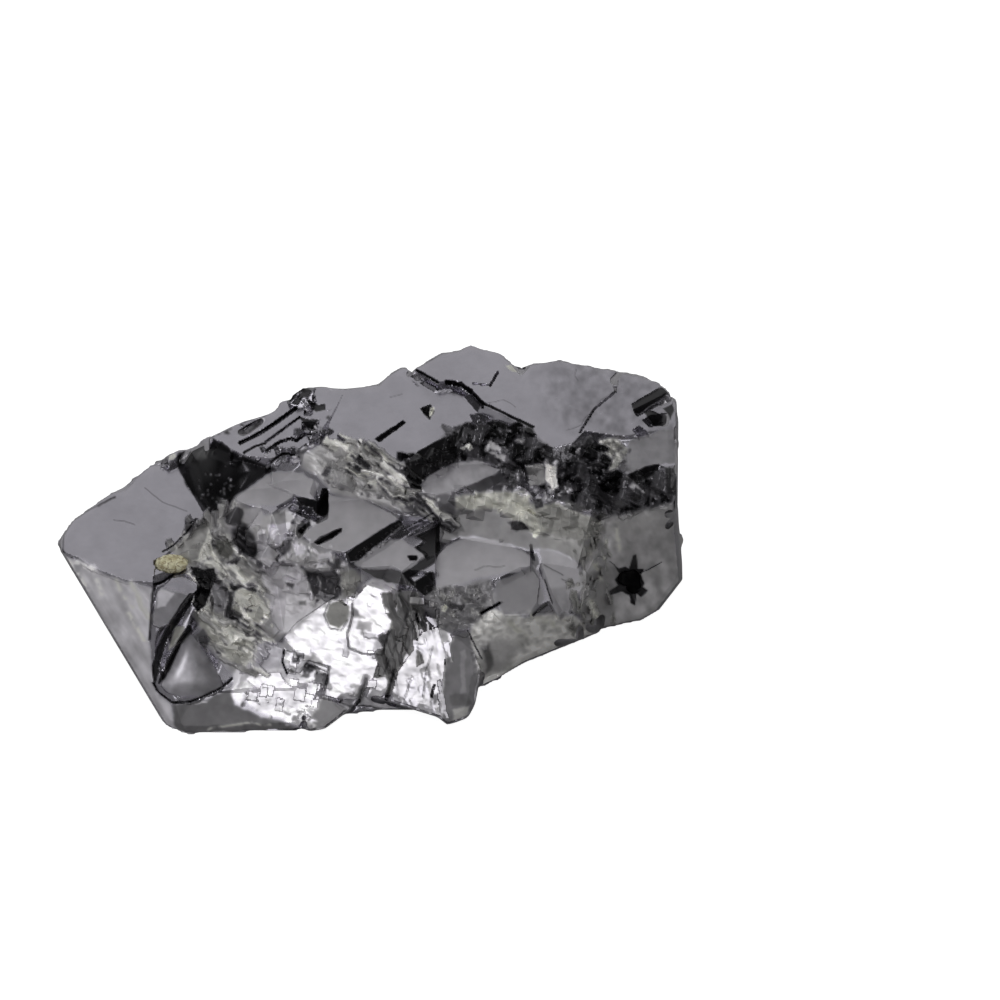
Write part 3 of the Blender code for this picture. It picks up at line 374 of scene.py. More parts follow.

# How each part of the face is finished, from the broadest to the smallest: tone, dullness, warmth, the width
# of its edge, and its outline. Tone scales the brightness, and much of it is painted light and shade: low
# tones paint shade in the dark gaps and black faces, high tones paint the reflected light on the white front,
# the lit walls and the bright plates. Dullness turns bright metal into a dull grey film, and warmth turns
# that film into pale cream.
FINISHES = (
    (1.30, 0.65, 0.25, 0.30, (
        (18.5, 52.5), (20.5, 51.5), (23.7, 49.8), (25.5, 51.5), (27.0, 51.3), (28.5, 50.8), (31.0, 52.8),
        (30.3, 53.8), (34.3, 56.0), (36.5, 57.8), (34.8, 60.5), (31.8, 60.8), (28.5, 63.5), (25.2, 65.8),
        (23.5, 67.5), (22.0, 66.0), (20.5, 64.3), (19.8, 61.0), (20.3, 58.5), (19.0, 56.5),
    )),
    (1.30, 0.65, 0.30, 0.30, (
        (32.5, 44.0), (35.5, 44.8), (38.0, 45.2), (40.5, 46.4), (40.6, 47.5), (42.0, 49.3), (45.0, 49.2),
        (45.5, 51.0), (41.5, 51.8), (40.0, 51.2), (37.0, 50.2), (33.0, 49.2), (31.5, 47.5), (30.0, 46.8),
        (30.0, 45.5),
    )),
    # The dark broken gap: painted shade.
    (0.40, 0.30, 0.10, 0.15, (
        (40.5, 46.3), (43.0, 44.5), (46.0, 42.4), (49.5, 42.3), (52.5, 43.0), (54.0, 44.0), (55.5, 45.0),
        (57.5, 44.3), (58.3, 43.3), (60.0, 43.5), (59.9, 45.0), (61.0, 47.0), (62.8, 47.3), (65.0, 46.3),
        (66.0, 47.0), (67.3, 49.2), (67.4, 50.3), (64.5, 51.5), (61.0, 51.7), (58.0, 50.8), (55.7, 50.0),
        (55.0, 48.5), (52.5, 47.5), (51.0, 49.5), (48.0, 49.3), (46.3, 48.8), (49.8, 47.2), (50.1, 46.7),
        (47.5, 46.1), (45.5, 46.2), (43.5, 47.3), (42.3, 48.3), (41.0, 48.5),
    )),
    (1.45, 0.85, 0.70, 0.25, (
        (45.3, 49.5), (48.0, 49.3), (52.5, 49.0), (53.0, 50.5), (55.5, 50.2), (58.0, 51.3), (60.5, 52.2),
        (60.0, 54.0), (58.0, 53.5), (56.0, 53.5), (53.5, 53.5), (51.5, 52.3), (50.0, 51.2), (47.0, 51.0),
        (45.0, 51.0),
    )),
    (0.85, 0.80, 0.10, 0.15, (
        (43.8, 52.5), (46.0, 51.0), (49.5, 50.9), (52.0, 52.5), (54.5, 54.5), (53.1, 55.0), (50.0, 54.2),
        (47.5, 53.6), (45.5, 53.8), (44.8, 54.3), (43.8, 54.0),
    )),
    (0.80, 0.10, 0.00, 1.20, (
        (53.5, 37.5), (57.0, 35.0), (64.0, 35.5), (69.0, 38.0), (69.0, 44.0), (60.0, 44.0), (56.0, 42.5),
        (54.5, 40.5),
    )),
    # A black face at the upper left: painted shade.
    (0.08, 0.10, 0.00, 0.06, (
        (17.5, 45.1), (20.5, 43.6), (22.0, 44.1), (23.2, 45.2), (24.3, 45.6), (26.0, 46.3), (27.5, 46.9),
        (26.3, 47.7), (25.0, 48.4), (23.7, 49.7), (22.2, 50.8), (20.8, 51.5), (19.9, 50.5), (18.5, 48.6),
        (17.2, 46.3),
    )),
    (0.95, 0.85, 0.25, 0.15, (
        (53.6, 53.6), (56.0, 52.6), (60.5, 52.0), (60.4, 57.0), (58.7, 58.5), (58.2, 56.5), (56.0, 55.2),
        (54.2, 54.9),
    )),
    (1.32, 0.85, 0.10, 0.20, (
        (58.5, 53.5), (60.5, 52.0), (64.0, 51.6), (67.4, 50.5), (67.4, 53.0), (67.8, 55.0), (69.0, 57.0),
        (68.5, 58.5), (66.5, 61.0), (64.0, 62.5), (60.0, 64.0), (58.0, 62.0),
    )),
    (2.30, 0.85, 0.35, 0.20, (
        (46.8, 63.5), (47.5, 61.5), (49.5, 60.8), (52.5, 61.7), (55.0, 61.3), (57.5, 61.5), (58.5, 62.5),
        (60.0, 64.0), (54.0, 66.0), (50.0, 68.0), (48.0, 68.8), (47.5, 66.0),
    )),
    # The left wall, brightened with painted light.
    (2.00, 0.70, 0.00, 0.10, (
        (5.5, 55.2), (6.4, 55.6), (9.2, 56.9), (12.6, 58.2), (15.3, 58.6), (15.2, 61.0), (14.9, 64.0),
        (15.2, 67.0), (15.5, 69.0), (17.0, 70.3), (17.3, 72.0), (18.0, 73.9), (16.0, 73.0), (12.5, 67.5),
        (9.0, 61.8),
    )),
    (0.45, 0.70, 0.05, 0.15, (
        (17.3, 70.4), (19.3, 70.3), (21.0, 69.7), (23.2, 69.0), (23.5, 70.5), (25.5, 71.5), (28.0, 72.2),
        (30.5, 73.0), (30.0, 73.9), (18.2, 74.2), (17.4, 72.5),
    )),
    (1.05, 0.95, 0.00, 0.08, (
        (31.8, 70.1), (32.3, 69.6), (34.2, 70.6), (35.2, 71.0), (34.0, 71.9), (33.2, 72.8), (32.0, 73.5),
        (30.6, 73.4), (30.3, 72.0), (30.6, 71.0),
    )),
    (0.70, 0.80, 0.00, 0.12, (
        (44.3, 64.5), (45.3, 63.6), (46.8, 63.3), (47.6, 66.0), (48.2, 67.5), (47.9, 69.0), (47.6, 71.2),
        (46.6, 72.4), (44.7, 72.6), (44.2, 71.5), (44.3, 68.0),
    )),
    # The white cleaved front: painted reflection of the light.
    (2.40, 0.30, 0.50, 0.15, (
        (24.6, 66.3), (26.3, 64.8), (28.3, 64.3), (28.5, 63.7), (29.7, 62.2), (31.8, 60.8), (33.3, 59.9),
        (34.9, 60.3), (36.4, 58.3), (37.2, 57.9), (38.4, 58.0), (39.6, 58.5), (39.8, 60.2), (39.2, 62.3),
        (38.4, 64.8), (38.1, 65.5), (37.4, 67.6), (38.8, 67.4), (39.4, 67.1), (41.0, 65.3), (42.0, 62.6),
        (43.7, 62.7), (45.2, 63.4), (45.3, 64.0), (44.5, 66.0), (44.3, 68.5), (44.3, 72.2), (42.0, 71.4),
        (38.5, 71.0), (34.3, 70.3), (32.2, 69.5), (31.9, 71.0), (29.8, 72.6), (28.0, 71.9), (25.5, 71.0),
        (24.4, 69.8), (24.0, 70.5), (23.2, 69.5), (23.2, 67.3),
    )),
    # The right part of the same front, with less of the painted reflection.
    (1.95, 0.30, 0.50, 0.10, (
        (38.8, 67.4), (39.4, 67.1), (41.0, 65.3), (42.0, 62.6), (43.7, 62.7), (45.2, 63.4), (45.3, 64.0),
        (44.5, 66.0), (44.3, 68.5), (44.3, 72.2), (42.0, 71.4), (38.8, 71.0),
    )),
    (0.60, 0.70, 0.25, 0.08, (
        (39.9, 59.2), (41.9, 59.3), (42.3, 60.5), (41.8, 62.5), (41.2, 64.5), (40.0, 66.8), (38.0, 67.8),
        (37.4, 67.6), (38.3, 65.0), (38.8, 63.2), (39.6, 61.5), (40.0, 60.0),
    )),
    (0.85, 0.60, 0.15, 0.25, (
        (42.2, 58.8), (44.0, 58.5), (46.0, 58.5), (49.0, 57.8), (49.5, 59.0), (49.8, 60.5), (48.5, 61.3),
        (46.8, 62.8), (45.5, 63.3), (44.0, 62.8), (42.5, 61.0),
    )),
    (1.00, 0.80, 0.35, 0.15, (
        (16.8, 55.0), (18.8, 53.2), (20.2, 52.2), (21.2, 51.8), (21.2, 53.4), (20.6, 55.6), (18.8, 57.0),
        (18.0, 55.8),
    )),
    (0.55, 0.40, 0.10, 0.15, (
        (40.2, 49.6), (42.0, 49.4), (44.0, 49.5), (45.6, 49.2), (45.5, 51.4), (43.5, 51.8), (41.3, 51.5),
        (40.1, 50.6),
    )),
    (1.10, 0.90, 0.60, 0.25, (
        (23.3, 59.0), (25.2, 58.8), (26.8, 60.2), (26.5, 62.0), (25.0, 62.8), (23.4, 61.2),
    )),
    (0.95, 0.90, 0.60, 0.25, (
        (19.3, 61.4), (21.3, 61.0), (23.5, 62.5), (25.3, 64.8), (24.8, 66.3), (22.5, 66.0), (21.0, 64.2),
    )),
    (1.40, 0.75, 0.00, 0.05, LEVEL_PLATE),
    (0.84, 0.75, 0.00, 0.05, (
        (49.7, 58.2), (52.0, 57.3), (53.4, 56.4), (54.0, 58.0), (54.4, 60.0), (53.0, 61.4), (50.5, 61.5),
        (49.6, 60.0),
    )),
    (1.25, 0.75, 0.00, 0.05, (
        (54.0, 55.0), (56.0, 55.3), (58.0, 56.5), (58.5, 58.5), (57.0, 61.0), (56.0, 62.0), (55.0, 60.5),
        (54.3, 58.0),
    )),
    (1.35, 0.75, 0.00, 0.05, (
        (35.5, 56.3), (38.5, 54.1), (40.2, 54.0), (41.5, 55.0), (42.8, 55.6), (40.6, 57.3), (39.5, 56.7),
        (37.5, 56.8), (36.0, 56.9),
    )),
    (1.35, 0.75, 0.00, 0.05, (
        (22.5, 50.5), (24.0, 49.2), (25.5, 48.3), (27.5, 47.1), (30.2, 47.3), (31.8, 48.5), (31.3, 49.8),
        (29.5, 49.6), (28.0, 50.5), (25.5, 50.6), (24.0, 50.2), (21.0, 52.0),
    )),
    (1.25, 0.75, 0.00, 0.05, (
        (32.8, 49.5), (36.0, 50.0), (40.0, 51.7), (36.0, 54.2), (34.0, 55.4), (31.5, 54.8), (30.5, 53.0),
        (32.5, 51.7),
    )),
    (2.00, 0.75, 0.05, 0.10, (
        (25.7, 55.6), (27.1, 55.9), (29.5, 56.3), (30.5, 57.5), (31.1, 59.4), (30.8, 60.4), (31.7, 61.1),
        (29.2, 63.3), (27.5, 63.4), (27.0, 62.0), (26.7, 60.2), (26.5, 58.3), (26.0, 57.2),
    )),
    (1.70, 0.85, 0.00, 0.08, ((24.2, 51.0), (26.0, 50.6), (26.2, 52.4), (24.8, 53.0))),
    (1.30, 0.90, 0.50, 0.12, PALE_GLINTING_KNOT),
)

# The same for small places painted over the broken facets, mostly painted highlights, glints and shade.
LIGHT_AND_SHADE_ACCENTS = (
    (1.90, 0.45, 0.00, 0.25, (
        (25.4, 64.6), (26.8, 64.2), (28.2, 64.4), (28.1, 66.6), (26.4, 67.0), (25.4, 66.6),
    )),
    (0.85, 0.85, 0.45, 0.30, (
        (53.5, 50.9), (56.0, 50.6), (59.5, 52.2), (60.5, 53.0), (58.0, 54.0), (55.5, 53.5), (54.0, 52.5),
    )),
    (0.55, 0.70, 0.25, 0.10, (
        (39.9, 59.0), (42.0, 59.2), (42.4, 61.0), (41.6, 62.8), (41.2, 64.5), (40.4, 66.2), (39.6, 67.2),
        (37.4, 67.7), (38.0, 66.0), (38.6, 64.2), (39.4, 62.6), (39.8, 61.0),
    )),
    (0.30, 0.40, 0.20, 0.10, ((53.2, 49.9), (54.2, 49.8), (54.4, 50.6), (53.6, 50.9))),
    (0.20, 0.40, 0.10, 0.12, ((50.8, 52.2), (52.2, 52.1), (52.9, 52.9), (51.6, 53.1))),
    (0.40, 0.50, 0.50, 0.15, ((56.8, 49.9), (58.2, 50.6), (57.4, 51.2), (56.4, 50.7))),
    (0.40, 0.50, 0.10, 0.12, (
        (22.3, 51.6), (23.4, 50.6), (24.2, 50.9), (24.2, 52.5), (23.2, 52.6), (22.6, 52.4),
    )),
    (0.20, 0.30, 0.00, 0.35, (
        (23.0, 52.8), (24.4, 52.5), (25.4, 53.4), (25.9, 55.0), (25.4, 56.0), (24.0, 55.4), (23.2, 54.2),
    )),
    (0.35, 0.80, 0.60, 0.20, ((21.4, 54.1), (22.8, 53.9), (23.4, 55.2), (22.6, 56.0), (21.6, 55.4))),
    (2.00, 0.85, 0.50, 0.08, (
        (20.8, 52.9), (21.2, 53.9), (20.9, 54.8), (21.3, 55.3), (20.3, 56.1), (19.8, 56.0), (20.3, 54.4),
    )),
    (0.80, 0.55, 0.05, 0.20, (
        (20.9, 58.2), (22.4, 58.0), (22.8, 59.4), (22.4, 61.2), (21.4, 61.2),
    )),
    (0.16, 0.40, 0.10, 0.15, (
        (22.9, 58.6), (23.3, 59.4), (23.2, 61.0), (24.2, 61.6), (23.2, 62.0), (22.5, 61.8),
    )),
    (1.70, 0.90, 0.50, 0.12, (
        (23.5, 59.2), (24.2, 58.8), (25.4, 59.2), (26.6, 60.3), (26.7, 61.2), (25.8, 61.2), (25.0, 60.9),
        (24.2, 60.8), (23.4, 60.0),
    )),
    (1.10, 0.85, 0.60, 0.12, (
        (22.4, 64.8), (23.6, 65.2), (24.9, 65.3), (24.7, 66.2), (23.9, 66.5), (22.8, 65.9),
    )),
    (1.20, 0.85, 0.60, 0.10, (
        (17.6, 62.7), (18.5, 62.6), (18.4, 63.5), (17.5, 64.7), (16.9, 65.2), (17.1, 64.0),
    )),
    (0.36, 0.40, 0.05, 0.15, SHADED_PLATE),
    (1.10, 0.85, 0.45, 0.20, ((33.9, 57.2), (35.4, 56.9), (36.0, 57.9), (35.4, 59.2), (34.4, 59.7))),
    (0.40, 0.30, 0.00, 0.12, ((27.6, 54.9), (28.9, 53.9), (29.2, 54.4), (29.0, 55.4), (28.2, 55.5))),
    (0.35, 0.50, 0.05, 0.12, ((28.5, 58.3), (29.3, 58.4), (29.2, 58.9), (28.6, 58.7))),
    (0.45, 0.50, 0.30, 0.12, ((29.9, 60.1), (30.5, 60.1), (30.5, 60.6), (30.0, 60.5))),
    (0.30, 0.40, 0.05, 0.15, ((44.9, 60.3), (46.5, 60.5), (46.3, 61.1), (45.0, 60.9))),
    (0.35, 0.40, 0.05, 0.12, ((52.9, 55.2), (53.6, 55.3), (54.0, 56.5), (53.6, 56.9), (53.1, 56.4))),
    (1.60, 0.85, 0.20, 0.60, ((47.8, 63.8), (50.5, 63.8), (52.5, 65.0), (50.0, 67.2), (48.2, 67.8))),
    (0.12, 0.60, 0.00, 0.15, ((66.5, 46.8), (67.8, 46.8), (67.8, 49.2), (66.6, 49.2))),
    (0.45, 0.60, 0.20, 0.25, ((48.2, 64.8), (49.0, 64.4), (49.4, 66.6), (48.6, 67.4))),
    (0.45, 0.40, 0.10, 0.15, (
        (19.3, 63.4), (20.4, 62.9), (21.0, 63.9), (20.8, 64.8), (19.8, 64.6),
    )),
    (1.30, 0.70, 0.00, 0.06, GAP_PLATE),
    (0.76, 0.70, 0.00, 0.08, (
        (63.2, 43.9), (66.0, 43.0), (67.9, 43.0), (68.0, 46.2), (66.2, 46.4), (62.9, 47.3), (61.8, 46.8),
        (62.8, 45.2),
    )),
    (0.75, 0.85, 0.45, 0.12, (
        (33.0, 60.4), (34.2, 60.0), (34.9, 60.7), (34.7, 62.0), (34.0, 62.8), (33.0, 62.5), (32.6, 61.5),
    )),
    (1.25, 0.85, 0.15, 0.35, (
        (60.5, 51.7), (64.0, 51.2), (67.4, 50.3), (67.6, 53.0), (64.0, 53.4), (60.8, 53.4),
    )),
    (0.92, 0.80, 0.20, 0.40, ((58.0, 57.5), (61.0, 57.0), (61.2, 61.0), (58.5, 61.5))),
    (0.80, 0.75, 0.00, 0.25, ((55.0, 59.0), (56.6, 58.6), (57.0, 61.0), (56.0, 62.0))),
    (0.30, 0.60, 0.05, 0.06, (
        (36.0, 56.9), (37.6, 56.9), (39.3, 56.8), (40.3, 57.3), (41.0, 57.8), (41.5, 58.2), (41.2, 58.5),
        (39.5, 58.4), (37.5, 57.8),
    )),
    # Painted glints on two small facets.
    (2.40, 0.60, 0.00, 0.12, ((26.7, 52.4), (28.9, 52.3), (28.6, 53.8), (27.6, 54.8), (27.0, 53.6))),
    (2.40, 0.60, 0.00, 0.12, ((29.3, 54.3), (30.7, 54.5), (30.5, 55.4), (29.5, 55.5))),
    (1.60, 0.70, 0.00, 0.20, ((25.6, 53.4), (27.0, 53.6), (27.2, 55.6), (25.9, 55.8))),
    (1.80, 0.80, 0.60, 0.06, (
        (46.0, 44.8), (46.9, 44.3), (47.4, 44.9), (46.9, 45.1), (46.6, 44.8), (46.2, 45.0),
    )),
    (1.40, 0.90, 0.30, 0.15, ((45.2, 71.0), (46.8, 70.6), (47.0, 72.0), (45.4, 72.2))),
    (0.45, 0.70, 0.10, 0.15, ((45.0, 69.4), (46.8, 69.4), (47.1, 70.4), (45.2, 70.6))),
    (1.05, 0.80, 0.00, 0.12, ((46.0, 65.2), (46.5, 65.0), (46.6, 69.2), (46.1, 69.4))),
    (1.15, 0.45, 0.00, 0.20, (
        (19.0, 63.3), (19.6, 63.9), (20.6, 65.2), (21.5, 66.8), (22.4, 68.8), (20.0, 69.8), (18.2, 69.8),
        (16.1, 68.5), (16.7, 66.8), (18.0, 64.3),
    )),
    # A painted highlight on the lower left of the tongue, and painted shade on its right.
    (1.80, 0.50, 0.00, 0.50, ((16.7, 67.9), (17.5, 66.7), (18.4, 66.8), (18.0, 68.2), (17.0, 69.0))),
    (0.75, 0.60, 0.00, 0.50, (
        (19.6, 66.0), (20.8, 66.2), (21.9, 67.8), (22.2, 68.8), (20.6, 69.5), (19.0, 69.3), (19.3, 67.8),
    )),
    (0.50, 0.45, 0.00, 0.12, (
        (15.8, 59.0), (16.4, 58.8), (19.0, 59.6), (18.4, 60.6), (17.0, 62.4), (16.0, 62.8), (15.3, 62.4),
    )),
    (1.30, 0.55, 0.00, 0.15, (
        (15.8, 59.2), (16.3, 58.9), (17.4, 59.3), (16.6, 60.6), (15.8, 60.8),
    )),
    (1.10, 0.80, 0.20, 0.15, ((52.6, 46.6), (54.3, 46.4), (54.6, 48.2), (53.0, 48.6))),
    # Painted glints: small white patches where facets catch the light.
    (3.00, 0.90, 0.30, 0.08, (
        (54.4, 46.4), (55.7, 46.5), (55.6, 47.6), (55.9, 48.6), (55.2, 49.0), (54.6, 48.0),
    )),
    (2.20, 0.90, 0.90, 0.06, ((53.3, 53.1), (53.8, 52.9), (54.0, 53.4), (53.6, 53.8), (53.2, 53.6))),
    (2.20, 0.90, 0.90, 0.05, ((42.9, 40.6), (43.3, 40.6), (43.4, 41.0), (43.1, 41.7), (42.9, 41.3))),
    (2.20, 0.90, 0.90, 0.08, ((44.0, 60.6), (44.6, 60.4), (44.9, 60.8), (44.5, 61.2), (44.1, 61.1))),
    (1.20, 0.80, 0.90, 0.08, ((50.6, 36.3), (51.2, 36.2), (52.0, 37.0), (51.4, 37.0), (50.9, 36.7))),
    (1.60, 0.80, 0.60, 0.08, ((16.3, 45.5), (17.0, 45.1), (17.4, 45.5), (16.8, 46.0), (16.4, 46.0))),
)

# Pale streaks and edges: painted highlights along edges and on the streaked faces, some tinted cream, and two
# dark lines of painted shade in a narrow gap. Each with tone, dullness, warmth, width and points.
STREAKS = (
    (2.10, 0.9, 0.4, 0.25, ((11.3, 57.6), (12.2, 59.4), (13.2, 60.6))),
    (2.00, 0.9, 0.4, 0.30, ((13.2, 58.3), (14.2, 60.4), (15.0, 61.8))),
    (2.20, 0.9, 0.4, 0.25, ((12.9, 61.3), (13.6, 62.6), (14.4, 64.0))),
    (3.00, 0.9, 0.2, 0.35, ((6.8, 56.2), (7.6, 57.4), (8.8, 59.0))),
    (3.40, 0.9, 0.2, 0.40, ((7.6, 56.3), (9.4, 57.0))),
    (2.60, 0.9, 0.2, 0.30, ((9.6, 58.0), (10.2, 59.4))),
    (1.90, 0.9, 0.3, 0.15, ((13.6, 59.6), (14.6, 61.6), (15.0, 62.6))),
    (1.70, 0.9, 0.6, 0.25, ((61.7, 52.6), (62.1, 55.0))),
    (1.60, 0.9, 0.7, 0.30, ((51.0, 62.2), (52.5, 63.6))),
    (1.60, 0.9, 0.7, 0.35, ((53.0, 61.3), (55.5, 62.6))),
    (1.60, 0.9, 0.7, 0.35, ((59.2, 60.2), (59.8, 62.3))),
    (1.50, 0.9, 0.7, 0.25, ((58.8, 55.0), (60.2, 58.0))),
    (1.30, 0.8, 0.1, 0.12, ((6.0, 56.0), (5.9, 54.0), (6.7, 52.2), (8.3, 50.9), (10.2, 49.7))),
    (1.20, 0.8, 0.7, 0.15, ((20.8, 73.0), (22.5, 72.6), (24.8, 72.3), (27.0, 72.6))),
    (2.20, 0.9, 0.6, 0.22, (
        (21.2, 55.5), (22.0, 56.8), (22.6, 57.5), (23.6, 58.2), (24.6, 58.1), (25.3, 57.6),
    )),
    (2.00, 0.9, 0.5, 0.16, ((21.8, 57.6), (22.6, 58.4), (23.0, 59.0))),
    (1.90, 0.9, 0.5, 0.15, ((24.0, 62.0), (25.0, 62.6), (26.2, 63.4))),
    (1.80, 0.9, 0.5, 0.14, ((23.2, 62.8), (24.4, 63.6), (25.6, 64.6))),
    (1.90, 0.9, 0.5, 0.16, ((20.9, 62.8), (21.8, 64.0), (23.0, 64.9), (24.4, 65.2))),
    (2.20, 0.9, 0.3, 0.14, ((25.4, 63.9), (25.6, 65.2), (25.5, 66.6))),
    (2.20, 0.9, 0.1, 0.14, ((26.4, 64.2), (26.5, 65.6), (26.3, 66.6))),
    (1.50, 0.8, 0.1, 0.14, ((27.6, 56.8), (28.3, 57.6), (28.2, 58.4))),
    (1.30, 0.8, 0.1, 0.10, ((31.7, 57.4), (32.1, 58.4), (32.0, 59.4))),
    (1.60, 0.8, 0.1, 0.12, ((31.2, 56.6), (32.2, 56.9), (33.1, 56.5))),
    (1.00, 0.8, 0.3, 0.12, ((41.2, 59.9), (41.0, 61.8), (40.2, 64.6))),
    # Two dark lines of painted shade in the gap by the ribbed column.
    (0.16, 0.6, 0.1, 0.10, ((40.9, 59.6), (40.4, 62.4), (39.3, 65.4), (38.3, 67.5))),
    (0.20, 0.6, 0.1, 0.08, ((42.0, 60.0), (41.4, 62.8), (40.5, 65.6), (39.9, 67.0))),
    (1.70, 0.8, 0.2, 0.10, ((49.7, 65.8), (49.7, 66.8))),
    (1.60, 0.5, 0.2, 0.08, ((19.3, 70.5), (21.5, 69.7), (23.2, 68.7))),
    (1.30, 0.5, 0.3, 0.10, ((20.4, 64.9), (22.0, 65.8), (24.0, 66.8))),
)


def direction(azimuth, rise):
    """The unit vector with this azimuth from +X, in degrees, and this upward part."""
    flat = math.sqrt(1.0 - rise * rise)
    return np.array((flat * math.cos(math.radians(azimuth)), flat * math.sin(math.radians(azimuth)), rise))


def slanting(down):
    """Axes on the sheet: along a line that runs down to the right by this many degrees, across it, and to the
    viewer."""
    along = RIGHT * math.cos(math.radians(down)) - UP * math.sin(math.radians(down))
    return np.array([along, np.cross(TOWARDS, along), TOWARDS])


def about(vectors, axis, degrees):
    """Vectors turned about an axis by this many degrees."""
    angle = math.radians(degrees)
    along = (vectors @ axis)[:, None] * axis
    return along + (vectors - along) * math.cos(angle) + np.cross(axis, vectors) * math.sin(angle)


def turned(axes, most):
    """The axes, turned together about a random line by at most this many degrees."""
    axis = random.normal(size=3)
    axis /= np.linalg.norm(axis)
    return about(axes, axis, random.uniform(-most, most))


# Three ways that small blocks lie: along the crystal's own cube, whose three upper faces slant alike, level
# on the terraces, and flat on the cleaved front.
CUBE_RISE = 0.577
CUBE_AXES = np.array([direction(azimuth, CUBE_RISE) for azimuth in (317.0, 197.0, 77.0)])
LEVEL_AXES = np.array([direction(317.0, 0.0), direction(47.0, 0.0), (0.0, 0.0, 1.0)])
CLEAVED_AXES = slanting(10.0)

# How the small facets of a broken place are finished: the share of them, their tone, dullness and warmth.
# Much of their tone is painted light and shade: the low tones paint shade in the gaps between facets, the
# high ones glints and reflections on facets that catch the light.
# Mostly black facets of painted shade, with a few painted glints.
SHADED_FACETS = (
    (0.62, 0.04, 0.15, 0.0), (0.21, 0.15, 0.30, 0.0), (0.12, 0.50, 0.40, 0.0), (0.05, 1.80, 0.80, 0.1),
)
RUBBLE = (
    (0.16, 0.25, 0.40, 0.1), (0.28, 0.70, 0.60, 0.2), (0.32, 1.10, 0.75, 0.3), (0.16, 1.40, 0.80, 0.4),
    (0.08, 2.0, 0.8, 0.3),
)
FEATHER = (
    (0.20, 0.16, 0.30, 0.1), (0.28, 1.05, 0.80, 0.3), (0.34, 1.90, 0.90, 0.5), (0.18, 3.00, 0.90, 0.4),
)
GLINTS = (
    (0.20, 0.35, 0.30, 0.0), (0.34, 1.50, 0.60, 0.0), (0.32, 2.30, 0.80, 0.0), (0.14, 3.80, 0.80, 0.0),
)
CREAM = (
    (0.12, 0.50, 0.50, 0.3), (0.30, 1.30, 0.90, 0.7), (0.40, 1.90, 0.90, 0.7), (0.18, 2.60, 0.90, 0.6),
)
SPARKS = ((0.50, 0.50, 0.60, 0.1), (0.50, 1.10, 0.70, 0.1))
SMOKY = ((0.30, 0.60, 0.60, 0.2), (0.50, 1.10, 0.80, 0.3), (0.20, 1.60, 0.85, 0.4))
STEPS = (
    (0.42, 1.00, 0.05, 0.0), (0.26, 0.10, 0.20, 0.0), (0.16, 0.50, 0.30, 0.0), (0.16, 2.30, 0.60, 0.1),
)
# Plates of the white cleaved front: their whiteness is painted reflection of the light.
LIT_PLATES = (
    (0.50, 2.40, 0.20, 0.3), (0.24, 1.40, 0.30, 0.3), (0.18, 1.05, 0.40, 0.5), (0.08, 0.62, 0.40, 0.2),
)
# Specks at the foot of the front, mostly painted highlights.
SPECKS = (
    (0.44, 2.60, 0.30, 0.3), (0.30, 1.50, 0.50, 0.4), (0.18, 0.80, 0.60, 0.2), (0.08, 0.20, 0.40, 0.0),
)
# Slivers beside the white front, with less of its painted reflection.
LIT_SLIVERS = (
    (0.50, 1.90, 0.20, 0.3), (0.24, 1.15, 0.30, 0.3), (0.18, 0.85, 0.40, 0.5), (0.08, 0.50, 0.40, 0.2),
)
# Facets of the pale knot: cream in part, with painted glints.
PALE_GLINTS = ((0.40, 1.20, 0.90, 0.4), (0.35, 1.90, 0.90, 0.4), (0.25, 0.60, 0.70, 0.2))
# Squares in the front: painted reflection on them, painted shade between them.
SQUARES = (
    (0.36, 2.30, 0.20, 0.3), (0.28, 0.90, 0.40, 0.4), (0.24, 0.50, 0.50, 0.1), (0.12, 0.18, 0.30, 0.0),
)
RIBBED = ((0.50, 0.55, 0.70, 0.3), (0.30, 0.75, 0.80, 0.3), (0.20, 0.35, 0.60, 0.1))
GREEN = ((0.35, 0.62, 0.85, 0.4), (0.50, 0.76, 0.88, 0.4), (0.15, 0.95, 0.90, 0.6))

